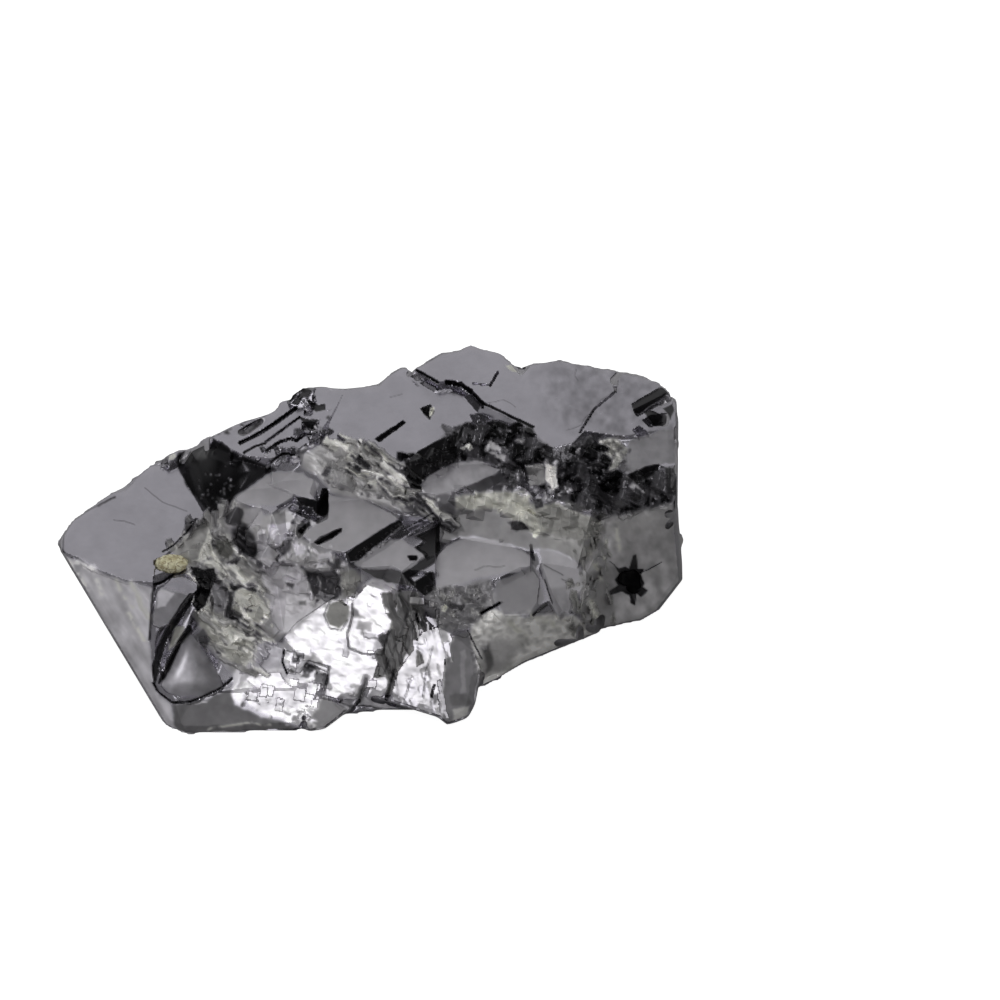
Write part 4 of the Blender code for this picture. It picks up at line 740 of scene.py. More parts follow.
# Fields of small facets: axes, count, smallest and largest sides, most turn, how far they stand out,
# finish, outline.
BLOCK_FIELDS = (
    (CUBE_AXES, 120, (0.5, 0.5, 0.5), (3.4, 3.4, 2.2), 35.0, 0.08, SHADED_FACETS, (
        (40.5, 46.5), (45.5, 43.2), (47.0, 42.3), (53.5, 43.2), (56.0, 45.2), (56.0, 50.0), (50.5, 47.5),
        (50.0, 46.5), (45.5, 46.0), (42.0, 48.0),
    )),
    (CUBE_AXES, 120, (0.5, 0.5, 0.5), (3.4, 3.4, 2.2), 35.0, 0.08, SHADED_FACETS, (
        (54.0, 46.5), (57.5, 44.5), (60.0, 44.0), (60.5, 47.3), (64.0, 47.8), (67.3, 47.5), (67.6, 50.5),
        (60.5, 51.7), (55.7, 50.0),
    )),
    (CUBE_AXES, 60, (0.2, 0.2, 0.2), (0.7, 0.7, 0.7), 45.0, 0.15, GLINTS, (
        (51.0, 47.5), (56.0, 46.0), (57.5, 49.5), (55.5, 50.5), (50.0, 49.3),
    )),
    (CUBE_AXES, 60, (0.2, 0.2, 0.2), (1.3, 1.3, 1.0), 60.0, 0.03, RUBBLE, (
        (30.0, 45.0), (32.5, 44.0), (35.5, 44.8), (36.5, 48.0), (39.5, 50.0), (42.5, 51.6), (38.0, 50.0),
        (33.0, 48.8), (31.5, 47.5),
    )),
    (CUBE_AXES, 200, (0.3, 0.3, 0.3), (1.9, 1.9, 1.5), 60.0, 0.0, GLINTS, (
        (25.5, 52.3), (29.0, 53.5), (31.0, 54.8), (34.5, 56.0), (35.0, 60.0), (31.0, 60.5), (27.5, 58.0),
        (25.0, 55.0),
    )),
    (CUBE_AXES, 110, (0.15, 0.15, 0.15), (1.0, 1.0, 1.0), 60.0, 0.03, SMOKY, (
        (42.5, 58.8), (47.0, 58.7), (49.4, 60.0), (48.5, 61.5), (46.5, 63.3), (43.5, 62.5),
    )),
    (CUBE_AXES, 40, (0.2, 0.2, 0.2), (1.2, 1.2, 0.8), 60.0, 0.0, CREAM, (
        (45.5, 49.5), (50.0, 49.2), (56.0, 49.8), (58.0, 51.5), (60.0, 52.5), (58.5, 54.2), (55.0, 53.3),
        (52.0, 52.3), (48.5, 51.3), (46.0, 51.0),
    )),
    (LEVEL_AXES, 130, (0.3, 0.3, 0.05), (1.8, 1.8, 0.3), 3.0, 0.10, STEPS, (
        (29.5, 38.9), (33.8, 39.0), (32.8, 41.5), (31.5, 45.0), (27.5, 46.7), (24.0, 45.3), (28.5, 45.0),
        (30.3, 42.5),
    )),
    (LEVEL_AXES, 60, (0.3, 0.3, 0.05), (1.5, 1.5, 0.3), 3.0, 0.10, STEPS, (
        (18.5, 43.8), (22.5, 42.4), (26.5, 41.2), (26.0, 42.2), (23.0, 44.0),
    )),
    (LEVEL_AXES, 50, (0.3, 0.3, 0.05), (1.8, 1.8, 0.3), 3.0, 0.04, STEPS, (
        (28.5, 50.8), (31.5, 51.3), (31.5, 53.8), (28.5, 53.8),
    )),
    (CUBE_AXES, 60, (0.08, 0.08, 0.08), (0.32, 0.32, 0.32), 60.0, 0.05, SPARKS, (
        (19.0, 48.0), (22.5, 46.5), (24.0, 48.0), (23.0, 49.8), (20.8, 51.0), (19.8, 49.8),
    )),
    (CUBE_AXES, 50, (0.08, 0.08, 0.08), (0.32, 0.32, 0.32), 60.0, 0.25, SPARKS, (
        (35.2, 55.8), (38.5, 53.4), (40.3, 52.2), (38.8, 54.2), (36.2, 56.0),
    )),
    (CLEAVED_AXES, 40, (0.4, 0.4, 0.05), (3.2, 2.6, 0.1), 1.5, 0.02, LIT_PLATES, (
        (29.5, 64.0), (33.0, 60.2), (38.2, 58.2), (39.5, 60.0), (38.1, 65.5), (37.3, 68.0), (35.8, 70.3),
        (33.0, 69.5), (33.0, 66.8), (30.5, 65.4),
    )),
    (slanting(78.0), 50, (1.2, 0.2, 0.05), (5.5, 0.9, 0.1), 1.5, 0.02, LIT_SLIVERS, (
        (41.5, 63.0), (45.0, 63.5), (44.3, 71.8), (39.0, 70.8), (39.5, 67.0),
    )),
    (CLEAVED_AXES, 16, (0.5, 0.5, 0.1), (1.9, 1.7, 0.4), 8.0, 0.05, SQUARES, (
        (28.3, 64.8), (30.2, 65.2), (33.0, 66.6), (33.0, 68.8), (31.6, 68.2), (29.6, 67.4), (28.3, 66.6),
    )),
    (slanting(28.0), 70, (0.2, 0.1, 0.06), (1.8, 0.6, 0.3), 40.0, 0.02, SPECKS, (
        (23.4, 69.2), (26.0, 69.2), (29.0, 69.8), (31.6, 69.6), (31.8, 72.8), (28.0, 72.6), (24.5, 71.2),
    )),
    (CUBE_AXES, 55, (0.15, 0.15, 0.15), (0.9, 0.9, 0.9), 60.0, 0.14, PALE_GLINTS, PALE_GLINTING_KNOT),
)

# Fields of splinters: how far they run down to the right in degrees, count, least and most length, least
# and most width, spread of direction, how far they stand out, finish, outline.
SPLINTER_FIELDS = (
    (30.0, 190, (1.6, 6.5), (0.15, 0.6), 10.0, 0.02, FEATHER, (
        (34.0, 44.4), (37.0, 44.9), (40.0, 46.2), (40.8, 47.6), (42.5, 49.4), (44.0, 50.8), (43.2, 51.6),
        (40.0, 50.4), (36.5, 48.6), (34.5, 46.5),
    )),
    (38.0, 200, (1.4, 5.0), (0.15, 0.8), 15.0, 0.02, FEATHER, (
        (19.0, 57.0), (20.5, 54.5), (23.0, 54.5), (25.5, 58.0), (27.2, 59.5), (27.0, 63.0), (25.5, 66.3),
        (23.5, 66.8), (21.0, 63.5), (20.5, 60.0),
    )),
    (75.0, 60, (1.0, 3.2), (0.3, 0.9), 20.0, 0.0, RUBBLE, (
        (16.8, 55.2), (19.5, 52.4), (23.5, 50.6), (25.5, 51.8), (25.5, 55.5), (23.0, 57.0), (20.5, 55.5),
        (18.8, 57.0),
    )),
    (74.0, 34, (2.5, 7.0), (0.4, 1.1), 3.0, 0.0, RIBBED, (
        (39.8, 59.5), (42.0, 59.5), (42.2, 62.0), (41.2, 65.0), (39.6, 67.2), (38.2, 67.6), (38.8, 64.0),
    )),
    (80.0, 60, (0.8, 3.0), (0.15, 0.5), 14.0, -0.05, GREEN, (
        (57.5, 54.0), (61.0, 53.5), (61.5, 62.5), (57.5, 63.5), (55.8, 62.5),
    )),
)

# Places with a rough surface: height of the roughness, how much it varies the tone, its grain, how far it
# runs down to the right in degrees, how far it is drawn out, outline.
ROUGH_PLACES = (
    (0.02, 0.30, 0.8, 10.0, 1.6, (
        (24.6, 66.3), (26.3, 64.8), (28.5, 63.7), (29.7, 62.2), (33.3, 59.9), (38.4, 58.0), (39.8, 60.2),
        (38.4, 64.8), (37.4, 67.6), (38.8, 67.4), (41.0, 65.3), (42.0, 62.6), (45.2, 63.4), (44.3, 72.2),
        (38.5, 71.0), (32.2, 69.5), (29.8, 72.6), (25.5, 71.0), (23.2, 69.5),
    )),
    (0.10, 0.30, 1.0, 75.0, 2.0, (
        (55.5, 52.5), (60.5, 52.0), (62.0, 54.0), (61.5, 63.0), (57.0, 64.5), (56.0, 62.0), (58.5, 58.5),
    )),
    (0.06, 0.22, 1.1, 60.0, 1.8, (
        (60.5, 52.0), (67.4, 50.5), (69.0, 57.0), (66.5, 61.0), (61.0, 63.5),
    )),
    (0.10, 0.40, 0.5, -15.0, 1.4, (
        (46.8, 63.5), (47.5, 61.5), (49.5, 60.8), (55.0, 61.3), (58.5, 62.5), (60.0, 64.0), (50.0, 68.0),
        (47.5, 67.5),
    )),
    (0.12, 0.30, 0.6, 20.0, 1.8, (
        (45.3, 49.5), (48.0, 49.3), (52.5, 49.0), (58.0, 51.3), (60.5, 52.2), (58.0, 54.5), (53.5, 53.5),
        (50.0, 51.2),
    )),
    (0.12, 0.40, 0.6, 30.0, 1.5, (
        (42.5, 58.8), (46.0, 58.5), (49.5, 58.5), (49.4, 61.0), (46.8, 63.0), (44.0, 62.8),
    )),
    (0.12, 0.35, 0.6, 32.0, 3.0, (
        (30.0, 45.0), (33.0, 44.0), (38.0, 45.2), (42.0, 49.3), (45.0, 50.8), (41.5, 51.8), (37.0, 50.2),
        (31.5, 47.5),
    )),
    (0.12, 0.35, 0.6, 38.0, 3.5, (
        (18.5, 56.0), (20.5, 52.5), (25.5, 52.0), (27.5, 59.0), (27.2, 64.0), (24.0, 67.0), (21.0, 64.0),
        (20.3, 59.0),
    )),
    (0.08, 0.25, 0.8, 20.0, 1.3, (
        (25.5, 52.3), (31.0, 53.8), (34.5, 56.0), (35.5, 60.0), (31.0, 61.0), (28.0, 62.0), (26.5, 58.0),
    )),
    (0.05, 0.35, 0.5, 60.0, 1.5, (
        (41.0, 47.5), (45.5, 44.0), (47.0, 42.5), (53.5, 43.5), (55.5, 45.0), (60.0, 44.0), (60.5, 47.3),
        (67.3, 47.5), (67.5, 50.5), (60.5, 51.7), (55.7, 50.0), (50.5, 49.5), (50.0, 46.5), (45.5, 46.0),
    )),
    (0.10, 0.70, 0.35, 40.0, 1.2, PALE_GLINTING_KNOT),
    (0.02, 0.25, 1.0, 60.0, 3.0, (
        (5.8, 55.6), (15.2, 58.8), (15.2, 67.0), (17.0, 71.0), (18.0, 73.9), (12.5, 67.5),
    )),
)

xs = np.arange(*SHEET_SPAN[0], GRID)
ys = np.arange(*SHEET_SPAN[1], GRID)
X, Y = np.meshgrid(xs, ys)
crystal_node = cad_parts["galena_crystal"]
base = seen_depth(crystal_node, X, Y)
solid = ~np.isnan(base)


def cell_of(x, y, rounded=np.floor):
    """The row and column of the grid's cell that holds each point of the sheet."""
    row, column = (
        np.clip(rounded((at - lines[0]) / GRID).astype(int), 0, len(lines) - 1)
        for at, lines in ((y, ys), (x, xs))
    )
    return row, column


def sample(values, x, y):
    """A field's value at points of the sheet, from the nearest point of the grid."""
    return values[cell_of(x, y, np.rint)]


# The smooth tongue in the scoop: its outline, how far it swells from the plane of its edge, its edge's
# radius, how far its edge lies below the solid, and how often its swell is softened.
TONGUE = (
    (19.0, 63.3), (19.6, 63.9), (20.6, 65.2), (21.5, 66.8), (22.0, 67.8), (22.4, 68.8), (21.4, 69.5),
    (20.0, 69.8), (18.2, 69.8), (16.6, 69.2), (16.1, 68.5), (16.7, 66.8), (17.3, 65.5), (18.0, 64.3),
)
TONGUE_SWELL = 1.5
TONGUE_EDGE = 2.2
TONGUE_SUNK = 0.3
TONGUE_PASSES = 50

bed_x, bed_y = np.array(TONGUE).T
bed = np.stack([bed_x, bed_y, np.ones(len(TONGUE))], 1)
plane = np.linalg.lstsq(bed, base[cell_of(bed_x, bed_y)], rcond=None)[0]
on_tongue = inside_of(X, Y, TONGUE)
from_edge = np.clip(distance_to(X, Y, TONGUE + TONGUE[:1]) / TONGUE_EDGE, 0.0, 1.0)
swell = np.where(on_tongue, np.sqrt(from_edge * (2.0 - from_edge)), 0.0)
swell = softened(swell, TONGUE_PASSES)
tongue = plane[0] * X + plane[1] * Y + plane[2] + TONGUE_SWELL * swell - TONGUE_SUNK
base = np.where(on_tongue, tongue, base)

# A small growth step at the top of the stepped terrace, which stands beyond the solid: its outline and
# where its depth is read.
TOP_STEP = ((28.6, 40.3), (28.8, 39.3), (30.1, 38.4), (31.2, 38.7), (31.0, 40.2), (30.0, 41.0))
TOP_STEP_AT = np.array((30.6, 40.4))
on_step = inside_of(X, Y, TOP_STEP)
base = np.where(on_step, np.fmax(base, base[cell_of(*TOP_STEP_AT)]), base)
solid |= on_step

# A worn corner at the right of the foot: the line that it's worn back to, as its normal and its distance on
# the sheet.
WORN = (0.789, 0.615)
WORN_AT = 89.75
solid &= WORN[0] * X + WORN[1] * Y < WORN_AT

# Near the outline, a face that falls away too steeply to be drawn as a height is left to the body behind.
STEEPEST = 3.0
EDGE_RINGS = 14
steepness = np.hypot(*np.gradient(base, GRID))
solid &= ~(steepness > STEEPEST) | eroded(solid, EDGE_RINGS) | ~eroded(~on_step, EDGE_RINGS)

# Places worn smooth, where the solid's facets run into each other: how often they are softened, how far
# their edges fade, and their outlines.
WORN_PASSES = 260
WORN_FADE = 0.6
WORN_PLACES = (
    (
        (60.6, 52.2), (64.0, 51.8), (67.0, 50.8), (67.2, 53.0), (67.6, 55.0), (68.6, 57.0), (68.0, 58.6),
        (66.3, 60.6), (64.0, 62.2), (60.5, 63.4), (59.0, 61.5), (60.4, 57.0),
    ),
    (
        (48.0, 63.0), (50.0, 61.9), (52.5, 62.2), (55.0, 61.9), (57.5, 62.0), (58.2, 63.6), (54.0, 65.4),
        (50.0, 67.2),
    ),
    ((62.0, 44.0), (66.0, 43.2), (67.6, 43.2), (67.6, 46.0), (66.2, 46.2), (62.9, 47.0)),
    (
        (18.8, 46.2), (20.8, 45.0), (22.5, 45.8), (25.2, 47.0), (24.3, 48.0), (22.7, 49.4), (21.0, 50.3),
        (20.1, 49.4),
    ),
)
worn_base = softened(np.where(solid, np.nan_to_num(base), 0.0), WORN_PASSES)
worn_base = worn_base / np.maximum(softened(solid.astype(float), WORN_PASSES), TINY)
for outline in WORN_PLACES:
    base = np.where(solid, blend(base, worn_base, zone(X, Y, outline, WORN_FADE)), base)


# How many places are tried for each one that is wanted inside an outline.
TRIES = 6


def scattered(outline, count):
    """Up to this many random places inside an outline, where the solid is: x, y, the solid's depth, and three
    random shares that are mostly small."""
    corners = np.array(outline)
    tries = random.uniform(corners.min(0), corners.max(0), (count * TRIES, 2))
    for x, y in tries[inside_of(tries[:, 0], tries[:, 1], outline)][:count]:
        under = sample(base, x, y)
        if not np.isnan(under):
            yield x, y, under, random.uniform(size=3) ** 2


def pick(palette):
    """One finish of a palette, drawn by their shares: its tone, dullness and warmth."""
    return palette[random.choice(len(palette), p=[finish[0] for finish in palette])][1:]


# How far the face stands before the solid. Then, for the blocks: the share of a block's own reach that is
# sunk in the face, and how much their heights vary. For the splinters: the same two, how far they dip, and
# how far they are rolled about their own length, both in degrees.
DATUM = 0.30
BLOCK_SUNK = 0.85
BLOCK_UNEVEN = 0.05
SPLINTER_SUNK = 0.3
SPLINTER_UNEVEN = 0.1
SPLINTER_DIP = 9.0
SPLINTER_ROLL = (20.0, 70.0)

blocks = []
for axes, count, smallest, largest, turn, proud, palette, outline in BLOCK_FIELDS:
    for x, y, under, share in scattered(outline, count):
        sides = blend(np.array(smallest), np.array(largest), share)
        block_axes = turned(axes, turn)
        reach = float(np.abs(block_axes @ TOWARDS) @ sides) * 0.5
        finish = pick(palette)
        lift = DATUM + random.uniform(proud - BLOCK_UNEVEN, proud) - reach * BLOCK_SUNK
        blocks.append((x, y, under + lift, sides, block_axes, finish))

splinters = []
for down, count, lengths, widths, spread, proud, palette, outline in SPLINTER_FIELDS:
    for x, y, under, share in scattered(outline, count):
        length = blend(*lengths, share[0])
        thin_sides = blend(*widths, share[1:])
        splinter_axes = slanting(down + random.normal(0.0, spread))
        splinter_axes = about(splinter_axes, splinter_axes[0], random.uniform(*SPLINTER_ROLL))
        level = np.cross(TOWARDS, splinter_axes[0])
        splinter_axes = about(splinter_axes, level, random.normal(0.0, SPLINTER_DIP))
        finish = pick(palette)
        lift = DATUM + random.uniform(proud - SPLINTER_UNEVEN, proud) - thin_sides.mean() * SPLINTER_SUNK
        splinters.append((x, y, under + lift, np.array((length, *thin_sides)), splinter_axes, finish))

# Plates that stay whole within the broken places.
UNBROKEN = (
    GAP_PLATE,
    LEVEL_PLATE,
    (
        (26.3, 56.2), (29.5, 56.4), (30.5, 57.5), (31.0, 59.4), (30.8, 60.4), (31.7, 61.1), (29.2, 63.3),
        (27.6, 63.2), (27.1, 62.0), (26.9, 60.2), (26.9, 58.3),
    ),
    ((20.9, 58.2), (22.6, 58.0), (23.3, 59.5), (23.2, 61.5), (22.4, 62.0), (21.2, 61.2)),
    ((17.6, 55.0), (20.1, 52.3), (21.2, 52.5), (20.8, 53.5), (20.0, 55.8), (18.3, 56.4)),
    ((22.4, 51.4), (23.6, 50.6), (25.6, 51.0), (25.7, 53.0), (25.6, 55.8), (23.4, 54.4), (22.8, 52.6)),
    SHADED_PLATE,
    (
        (53.3, 42.9), (54.2, 44.3), (56.0, 44.6), (57.3, 44.2), (58.3, 43.2), (60.0, 43.0), (60.0, 40.0),
        (53.0, 40.0),
    ),
)
broken = ~sum(inside_of(X, Y, outline) for outline in UNBROKEN).astype(bool)

# How much further than its own corners a block may reach, since noise shifts its edges.
BEND_ROOM = 0.4


def window(middle, reach, start):
    """The grid points within reach of a place along one side of the sheet."""
    return slice(max(int((middle - reach - start) / GRID), 0), int((middle + reach - start) / GRID) + 2)


def join_blocks(blocks, x, y, depth, paint):
    """Joins every block to the depth field, and lays its finish on the paint where it is in front. A block's
    front at a point is the nearest back of its facing planes, and it counts only before its rear planes."""
    for block_x, block_y, block_depth, sides, axes, finish in blocks:
        reach = float(np.linalg.norm(sides)) * 0.5 + BEND_ROOM
        part = window(block_y, reach, ys[0]), window(block_x, reach, xs[0])
        from_x = x[part] - block_x
        from_y = y[part] - block_y
        near = np.full(from_x.shape, FAR)
        far = -near
        for axis, side in zip(axes, sides):
            to_right, to_top, to_viewer = axis @ RIGHT, axis @ UP, axis @ TOWARDS
            slope = (to_top * from_y - to_right * from_x) / to_viewer
            half = abs(side * 0.5 / to_viewer)
            near = np.minimum(near, slope + half)
            far = np.maximum(far, slope - half)
        front = near + block_depth
        wins = (near > far) & (front > depth[part]) & broken[part]
        depth[part][wins] = front[wins]
        for field, value in zip(paint, finish):
            field[part][wins] = value


def shifted(x, y, strength, size, seed, octaves):
    """The points shifted by noise of this strength, with one seed for x and another for y."""
    shift_x, shift_y = (noise(x, y, size, seed + more, octaves) for more in (0, 10))
    return x + strength * shift_x, y + strength * shift_y


def painted(paint, finish, share, vary=1.0):
    """Tone with its painted light and shade, dullness and warmth with this finish laid over them. The
    finish's tone is varied first.
    """
    tone_and_painted_light, dull, warm = finish
    return [blend(field, value, share) for field, value in zip(paint, (tone_and_painted_light * vary, dull, warm))]


def along_line(x, y, points, width):
    """1 on a broken line, falling away to each side over this width."""
    return np.exp(-((distance_to(x, y, points) / width) ** 2))


# Noise on the face. The first two have their strength by themselves, and then size, seed and octaves. The
# others shift the outlines, the blocks, the splinters and the lines: strength, size, seed and octaves.
UNDULATION = 0.02
UNDULATION_NOISE = (3.0, 11, 2)
CLOUDS = 0.05
CLOUD_NOISE = (1.6, 21, 4)
PATCH_NOISE = (0.7, 61, 3)
OUTLINE_SHIFT = (0.12, 0.9, 41, 3)
BLOCK_SHIFT = (0.05, 0.45, 201, 2)
SPLINTER_SHIFT = (0.30, 1.7, 221, 3)
LINE_SHIFT = (0.04, 0.5, 71, 2)

# Finishes: the dullness of bare metal, how much the patches vary a finish and an accent, and the edge at
# which a finish is soft enough to vary in full. A streak fades out where the patches are low, between the
# last two.
BARE_DULL = 0.05
FINISH_VARIES = 0.25
ACCENT_VARIES = 0.15
SOFT_EDGE = 0.25
STREAK_GAPS = (-0.9, 0.3)

# Rough places: how far their edges fade, the seed and octaves of the noise of their crests and of their
# tone, and how much finer the second is.
ROUGH_FADE = 0.3
CREST_NOISE = (91, 3)
ROUGH_TONE_NOISE = (131, 3)
ROUGH_TONE_GRAIN = 0.7

# Slots and shaded lines: how far a slot's edges fade, how deep a line is, how far its edge fades outwards and
# inwards, and for each the tone of its painted shade and its dullness.
SLOT_FADE = 0.05
SLOT_SHADE_TONE = 0.07
SLOT_DULL = 0.3
LINE_DEPTH = 0.2
LINE_FADE = (0.03, 0.04)
LINE_SHADE_TONE = 0.01
LINE_DULL = 0.05

# How much painted shade darkens a crack: at least, more for each mm of depth, and at most.
CRACK_SHADE = 0.45
CRACK_DEEPENS = 2.0
CRACK_DARKEST = 0.9


def finish_fields(x, y, base, rim):
    """The crystal's face: the solid's surface raised by the datum, with undulation, blocks, splinters, rough
    places, slots and cracks. Gives its depth, and three fields for its finish: tone, which carries painted
    light and shade, dullness and warmth."""
    depth = base + DATUM * rim + UNDULATION * noise(x, y, *UNDULATION_NOISE) * rim
    paint = [np.ones(x.shape), np.full(x.shape, BARE_DULL), np.zeros(x.shape)]
    places = shifted(x, y, *OUTLINE_SHIFT)
    patchy = noise(x, y, *PATCH_NOISE)
    for *finish, soft, outline in FINISHES:
        vary = 1.0 + FINISH_VARIES * patchy * min(soft / SOFT_EDGE, 1.0)
        paint = painted(paint, finish, zone(*places, outline, soft), vary)
    join_blocks(blocks, *shifted(x, y, *BLOCK_SHIFT), depth, paint)
    join_blocks(splinters, *shifted(x, y, *SPLINTER_SHIFT), depth, paint)
    tone_and_painted_light, dull, warm = paint
    for height, contrast, grain, down, drawn, outline in ROUGH_PLACES:
        run = math.radians(down)
        along = (x * math.cos(run) + y * math.sin(run)) / drawn
        across = y * math.cos(run) - x * math.sin(run)
        share = zone(*places, outline, ROUGH_FADE)
        crests = 1.0 - 2.0 * np.abs(noise(along, across, grain, *CREST_NOISE))
        depth = depth + height * crests * share * rim
        shade = noise(along, across, grain * ROUGH_TONE_GRAIN, *ROUGH_TONE_NOISE)
        tone_and_painted_light = tone_and_painted_light * (1.0 + contrast * shade * share)
    paint = [softened(field) for field in (tone_and_painted_light, dull, warm)]
    for *finish, soft, outline in LIGHT_AND_SHADE_ACCENTS:
        paint = painted(paint, finish, zone(*places, outline, soft), 1.0 + ACCENT_VARIES * patchy)
    for *finish, width, points in STREAKS:
        share = along_line(*places, points, width) * smooth(patchy, *STREAK_GAPS)
        paint = painted(paint, finish, share)
    tone_and_painted_light, dull, warm = paint
    tone_and_painted_light = tone_and_painted_light * (1.0 + CLOUDS * noise(x, y, *CLOUD_NOISE))
    places = shifted(x, y, *LINE_SHIFT)
    for fall, outline in SLOTS:
        share = zone(*places, outline, SLOT_FADE)
        depth = depth - fall * share * rim
        tone_and_painted_light = blend(tone_and_painted_light, SLOT_SHADE_TONE, share)
        dull = blend(dull, SLOT_DULL, share)
    for width, points in SHADED_LINES:
        share = smooth(-distance_to(*places, points), -width - LINE_FADE[0], -width + LINE_FADE[1])
        depth = depth - LINE_DEPTH * share * rim
        tone_and_painted_light = blend(tone_and_painted_light, LINE_SHADE_TONE, share)
        dull = blend(dull, LINE_DULL, share)
    for width, fall, points in CRACKS:
        share = along_line(*places, points, width)
        depth = depth - fall * share * rim
        tone_and_painted_light = tone_and_painted_light * (1.0 - min(CRACK_SHADE + CRACK_DEEPENS * fall, CRACK_DARKEST) * share)
    return depth, tone_and_painted_light, dull, warm


# The face, which falls back to the solid over its last rings of grid points. Its top and the whole body stay
# within the solid's box but for a little room.
RIM_RINGS = 8
ROOM = 0.35

rim = risen(solid, RIM_RINGS)
depth, tone_and_painted_light, dull, warm = finish_fields(X, Y, np.nan_to_num(base), rim)
lowest = np.array(cad_box[0]) / MM - ROOM
highest = np.array(cad_box[1]) / MM + ROOM
depth = np.minimum(depth, (highest[2] - SHEET_ORIGIN[2] + Y * UP[2]) / TOWARDS[2])


def whole_cells(inside):
    """The cells of the grid whose four corners are all inside."""
    return inside[:-1, :-1] & inside[1:, :-1] & inside[1:, 1:] & inside[:-1, 1:]


def relief_solid(name, x, y, depth, inside, thickness):
    """A closed slab over the grid points inside: its face is at depth, its back lies the thickness behind the
    face, and walls along its outline join the two. Also gives the grid index of each of its points."""
    quads = grid_faces(*inside.shape)[whole_cells(inside).ravel()]
    ends = np.concatenate([quads[:, [0, 1]], quads[:, [1, 2]], quads[:, [2, 3]], quads[:, [3, 0]]])
    keys = ends[:, 0] * inside.size + ends[:, 1]
    back_keys = ends[:, 1] * inside.size + ends[:, 0]
    outline = ends[~np.isin(keys, back_keys)]
    used = np.unique(quads)
    renumber = np.full(inside.size, -1)
    renumber[used] = np.arange(len(used))
    front = on_sheet(x.ravel()[used], y.ravel()[used], depth.ravel()[used])
    back = front - TOWARDS * thickness.ravel()[used][:, None]
    points = np.concatenate([front, back])
    points[:, 2] = np.maximum(points[:, 2], 0.0)
    face = renumber[quads]
    side = renumber[outline]
    walls = np.stack([side[:, 1], side[:, 0], side[:, 0] + len(used), side[:, 1] + len(used)], -1)
    faces = np.concatenate([face, face[:, ::-1] + len(used), walls])
    return mesh_piece(name, points, faces), np.concatenate([used, used])


def write_fields(mesh, fields):
    """Tone, dullness and warmth for each point of a mesh, as attributes. On the face the tone carries painted
    light and shade.
    """
    for name, values in zip(("tone_and_painted_light", "dull", "warm"), fields):
        field = mesh.attributes.new(name, "FLOAT", "POINT")
        field.data.foreach_set("value", np.ascontiguousarray(values, np.float32))


def split_at(y, points):
    """The x at which a line down the face crosses each y."""
    across, down = np.array(points).T
    return np.interp(y, down, across)


# The lines along which the face is divided, so that each piece's mesh stays light. They follow natural
# breaks.
SPLITS = (
    (
        (17.2, 44.0), (17.3, 46.0), (20.3, 51.6), (16.0, 55.5), (15.3, 62.0), (15.3, 68.0), (17.3, 71.0),
        (18.0, 75.0),
    ),
    (
        (29.0, 38.0), (26.0, 46.0), (28.0, 50.5), (31.0, 53.0), (34.5, 57.0), (31.0, 61.0), (24.5, 66.0),
        (23.5, 70.0), (26.0, 75.0),
    ),
    (
        (40.5, 36.0), (43.0, 41.0), (41.0, 46.0), (42.0, 50.0), (44.0, 53.0), (43.5, 58.0), (42.0, 63.0),
        (38.0, 70.0), (38.0, 75.0),
    ),
    ((53.0, 36.0), (54.0, 43.0), (54.0, 50.0), (54.5, 55.0), (56.0, 62.0), (57.0, 75.0)),
)
FACE_PIECES = ("left_terrace", "scooped_side", "middle_steps", "centre_terraces", "right_terraces")

# The slabs: how thick they are within and at their outline, and how often their outermost rings of grid
# points are evened out.
SLAB_THICK = 1.2
SLAB_EDGE = 0.15
EVEN_RINGS = 5
EVEN_PASSES = 8

inside = eroded(solid, 1)
thickness = blend(SLAB_EDGE, SLAB_THICK, rim)
edge = inside - risen(inside, EVEN_RINGS)
edged = [X, Y, depth]
for _ in range(EVEN_PASSES):
    weight = np.maximum(softened(inside.astype(float)), TINY)
    edged = [blend(field, softened(np.where(inside, field, 0.0)) / weight, edge) for field in edged]

side_of = sum((X > split_at(Y, points)).astype(int) for points in SPLITS)
faces_made = []
for number, name in enumerate(FACE_PIECES):
    cells = whole_cells(inside) & (side_of[:-1, :-1] == number)
    corners = np.zeros(inside.shape, bool)
    for down, right in ((0, 0), (1, 0), (1, 1), (0, 1)):
        corners[down:down + cells.shape[0], right:right + cells.shape[1]] |= cells
    slab, grid_index = relief_solid(name, *edged, corners, thickness)
    write_fields(slab.data, [field.ravel()[grid_index] for field in (tone_and_painted_light, dull, warm)])
    faces_made.append(slab)

# The rest of the mass is the solid's own shape on an even mesh. Its face is drawn back by BODY_SUNK behind
# the solid's, where slabs cover it, and its other sides are broken along the cube as well: blocks stand out
# of them or have come away. A side counts as hidden by how far it turns from the viewer, less near the
# ground.
WELD_WITHIN = 1e-7
BODY_GRID = 0.32
BODY_SUNK = 0.45
TURNED_AWAY = (-0.1, 0.25)
ABOVE_GROUND = (0.2, 0.9)

# The blocks: how many, the share of them that stand out, their least and greatest sides and steps, how far
# each is turned from the cube in degrees, and the finishes of their faces.
HIDDEN_BLOCKS = 260
RAISED = 0.35
HIDDEN_SIDES = ((1.2, 1.2, 0.8), (11.0, 9.0, 5.0))
HIDDEN_STEP = (0.15, 0.55)
MOST_STEP = 0.6
HIDDEN_TURN = 4.0
HIDDEN = (
    (0.30, 0.70, 0.35, 0.1), (0.32, 1.00, 0.10, 0.0), (0.26, 0.50, 0.60, 0.2), (0.12, 1.25, 0.80, 0.4),
)
MOST_TONE = 3.0

# The body's finish where no block lies: the middle and the spread of its tone, dullness and warmth, and the
# size and seed of the noise that varies each. The noise lies along two of the cube's axes, and slants with
# the third.
BODY_FINISHES = ((0.85, 0.15, 3.0, 401), (0.35, 0.25, 5.0, 411), (0.15, 0.15, 5.0, 421))
BODY_OCTAVES = 4
BODY_SLANTS = (0.6, -0.5)

# The least that a direction counts for along an axis, since it's divided by.
LEVEL_WITH = 1e-4

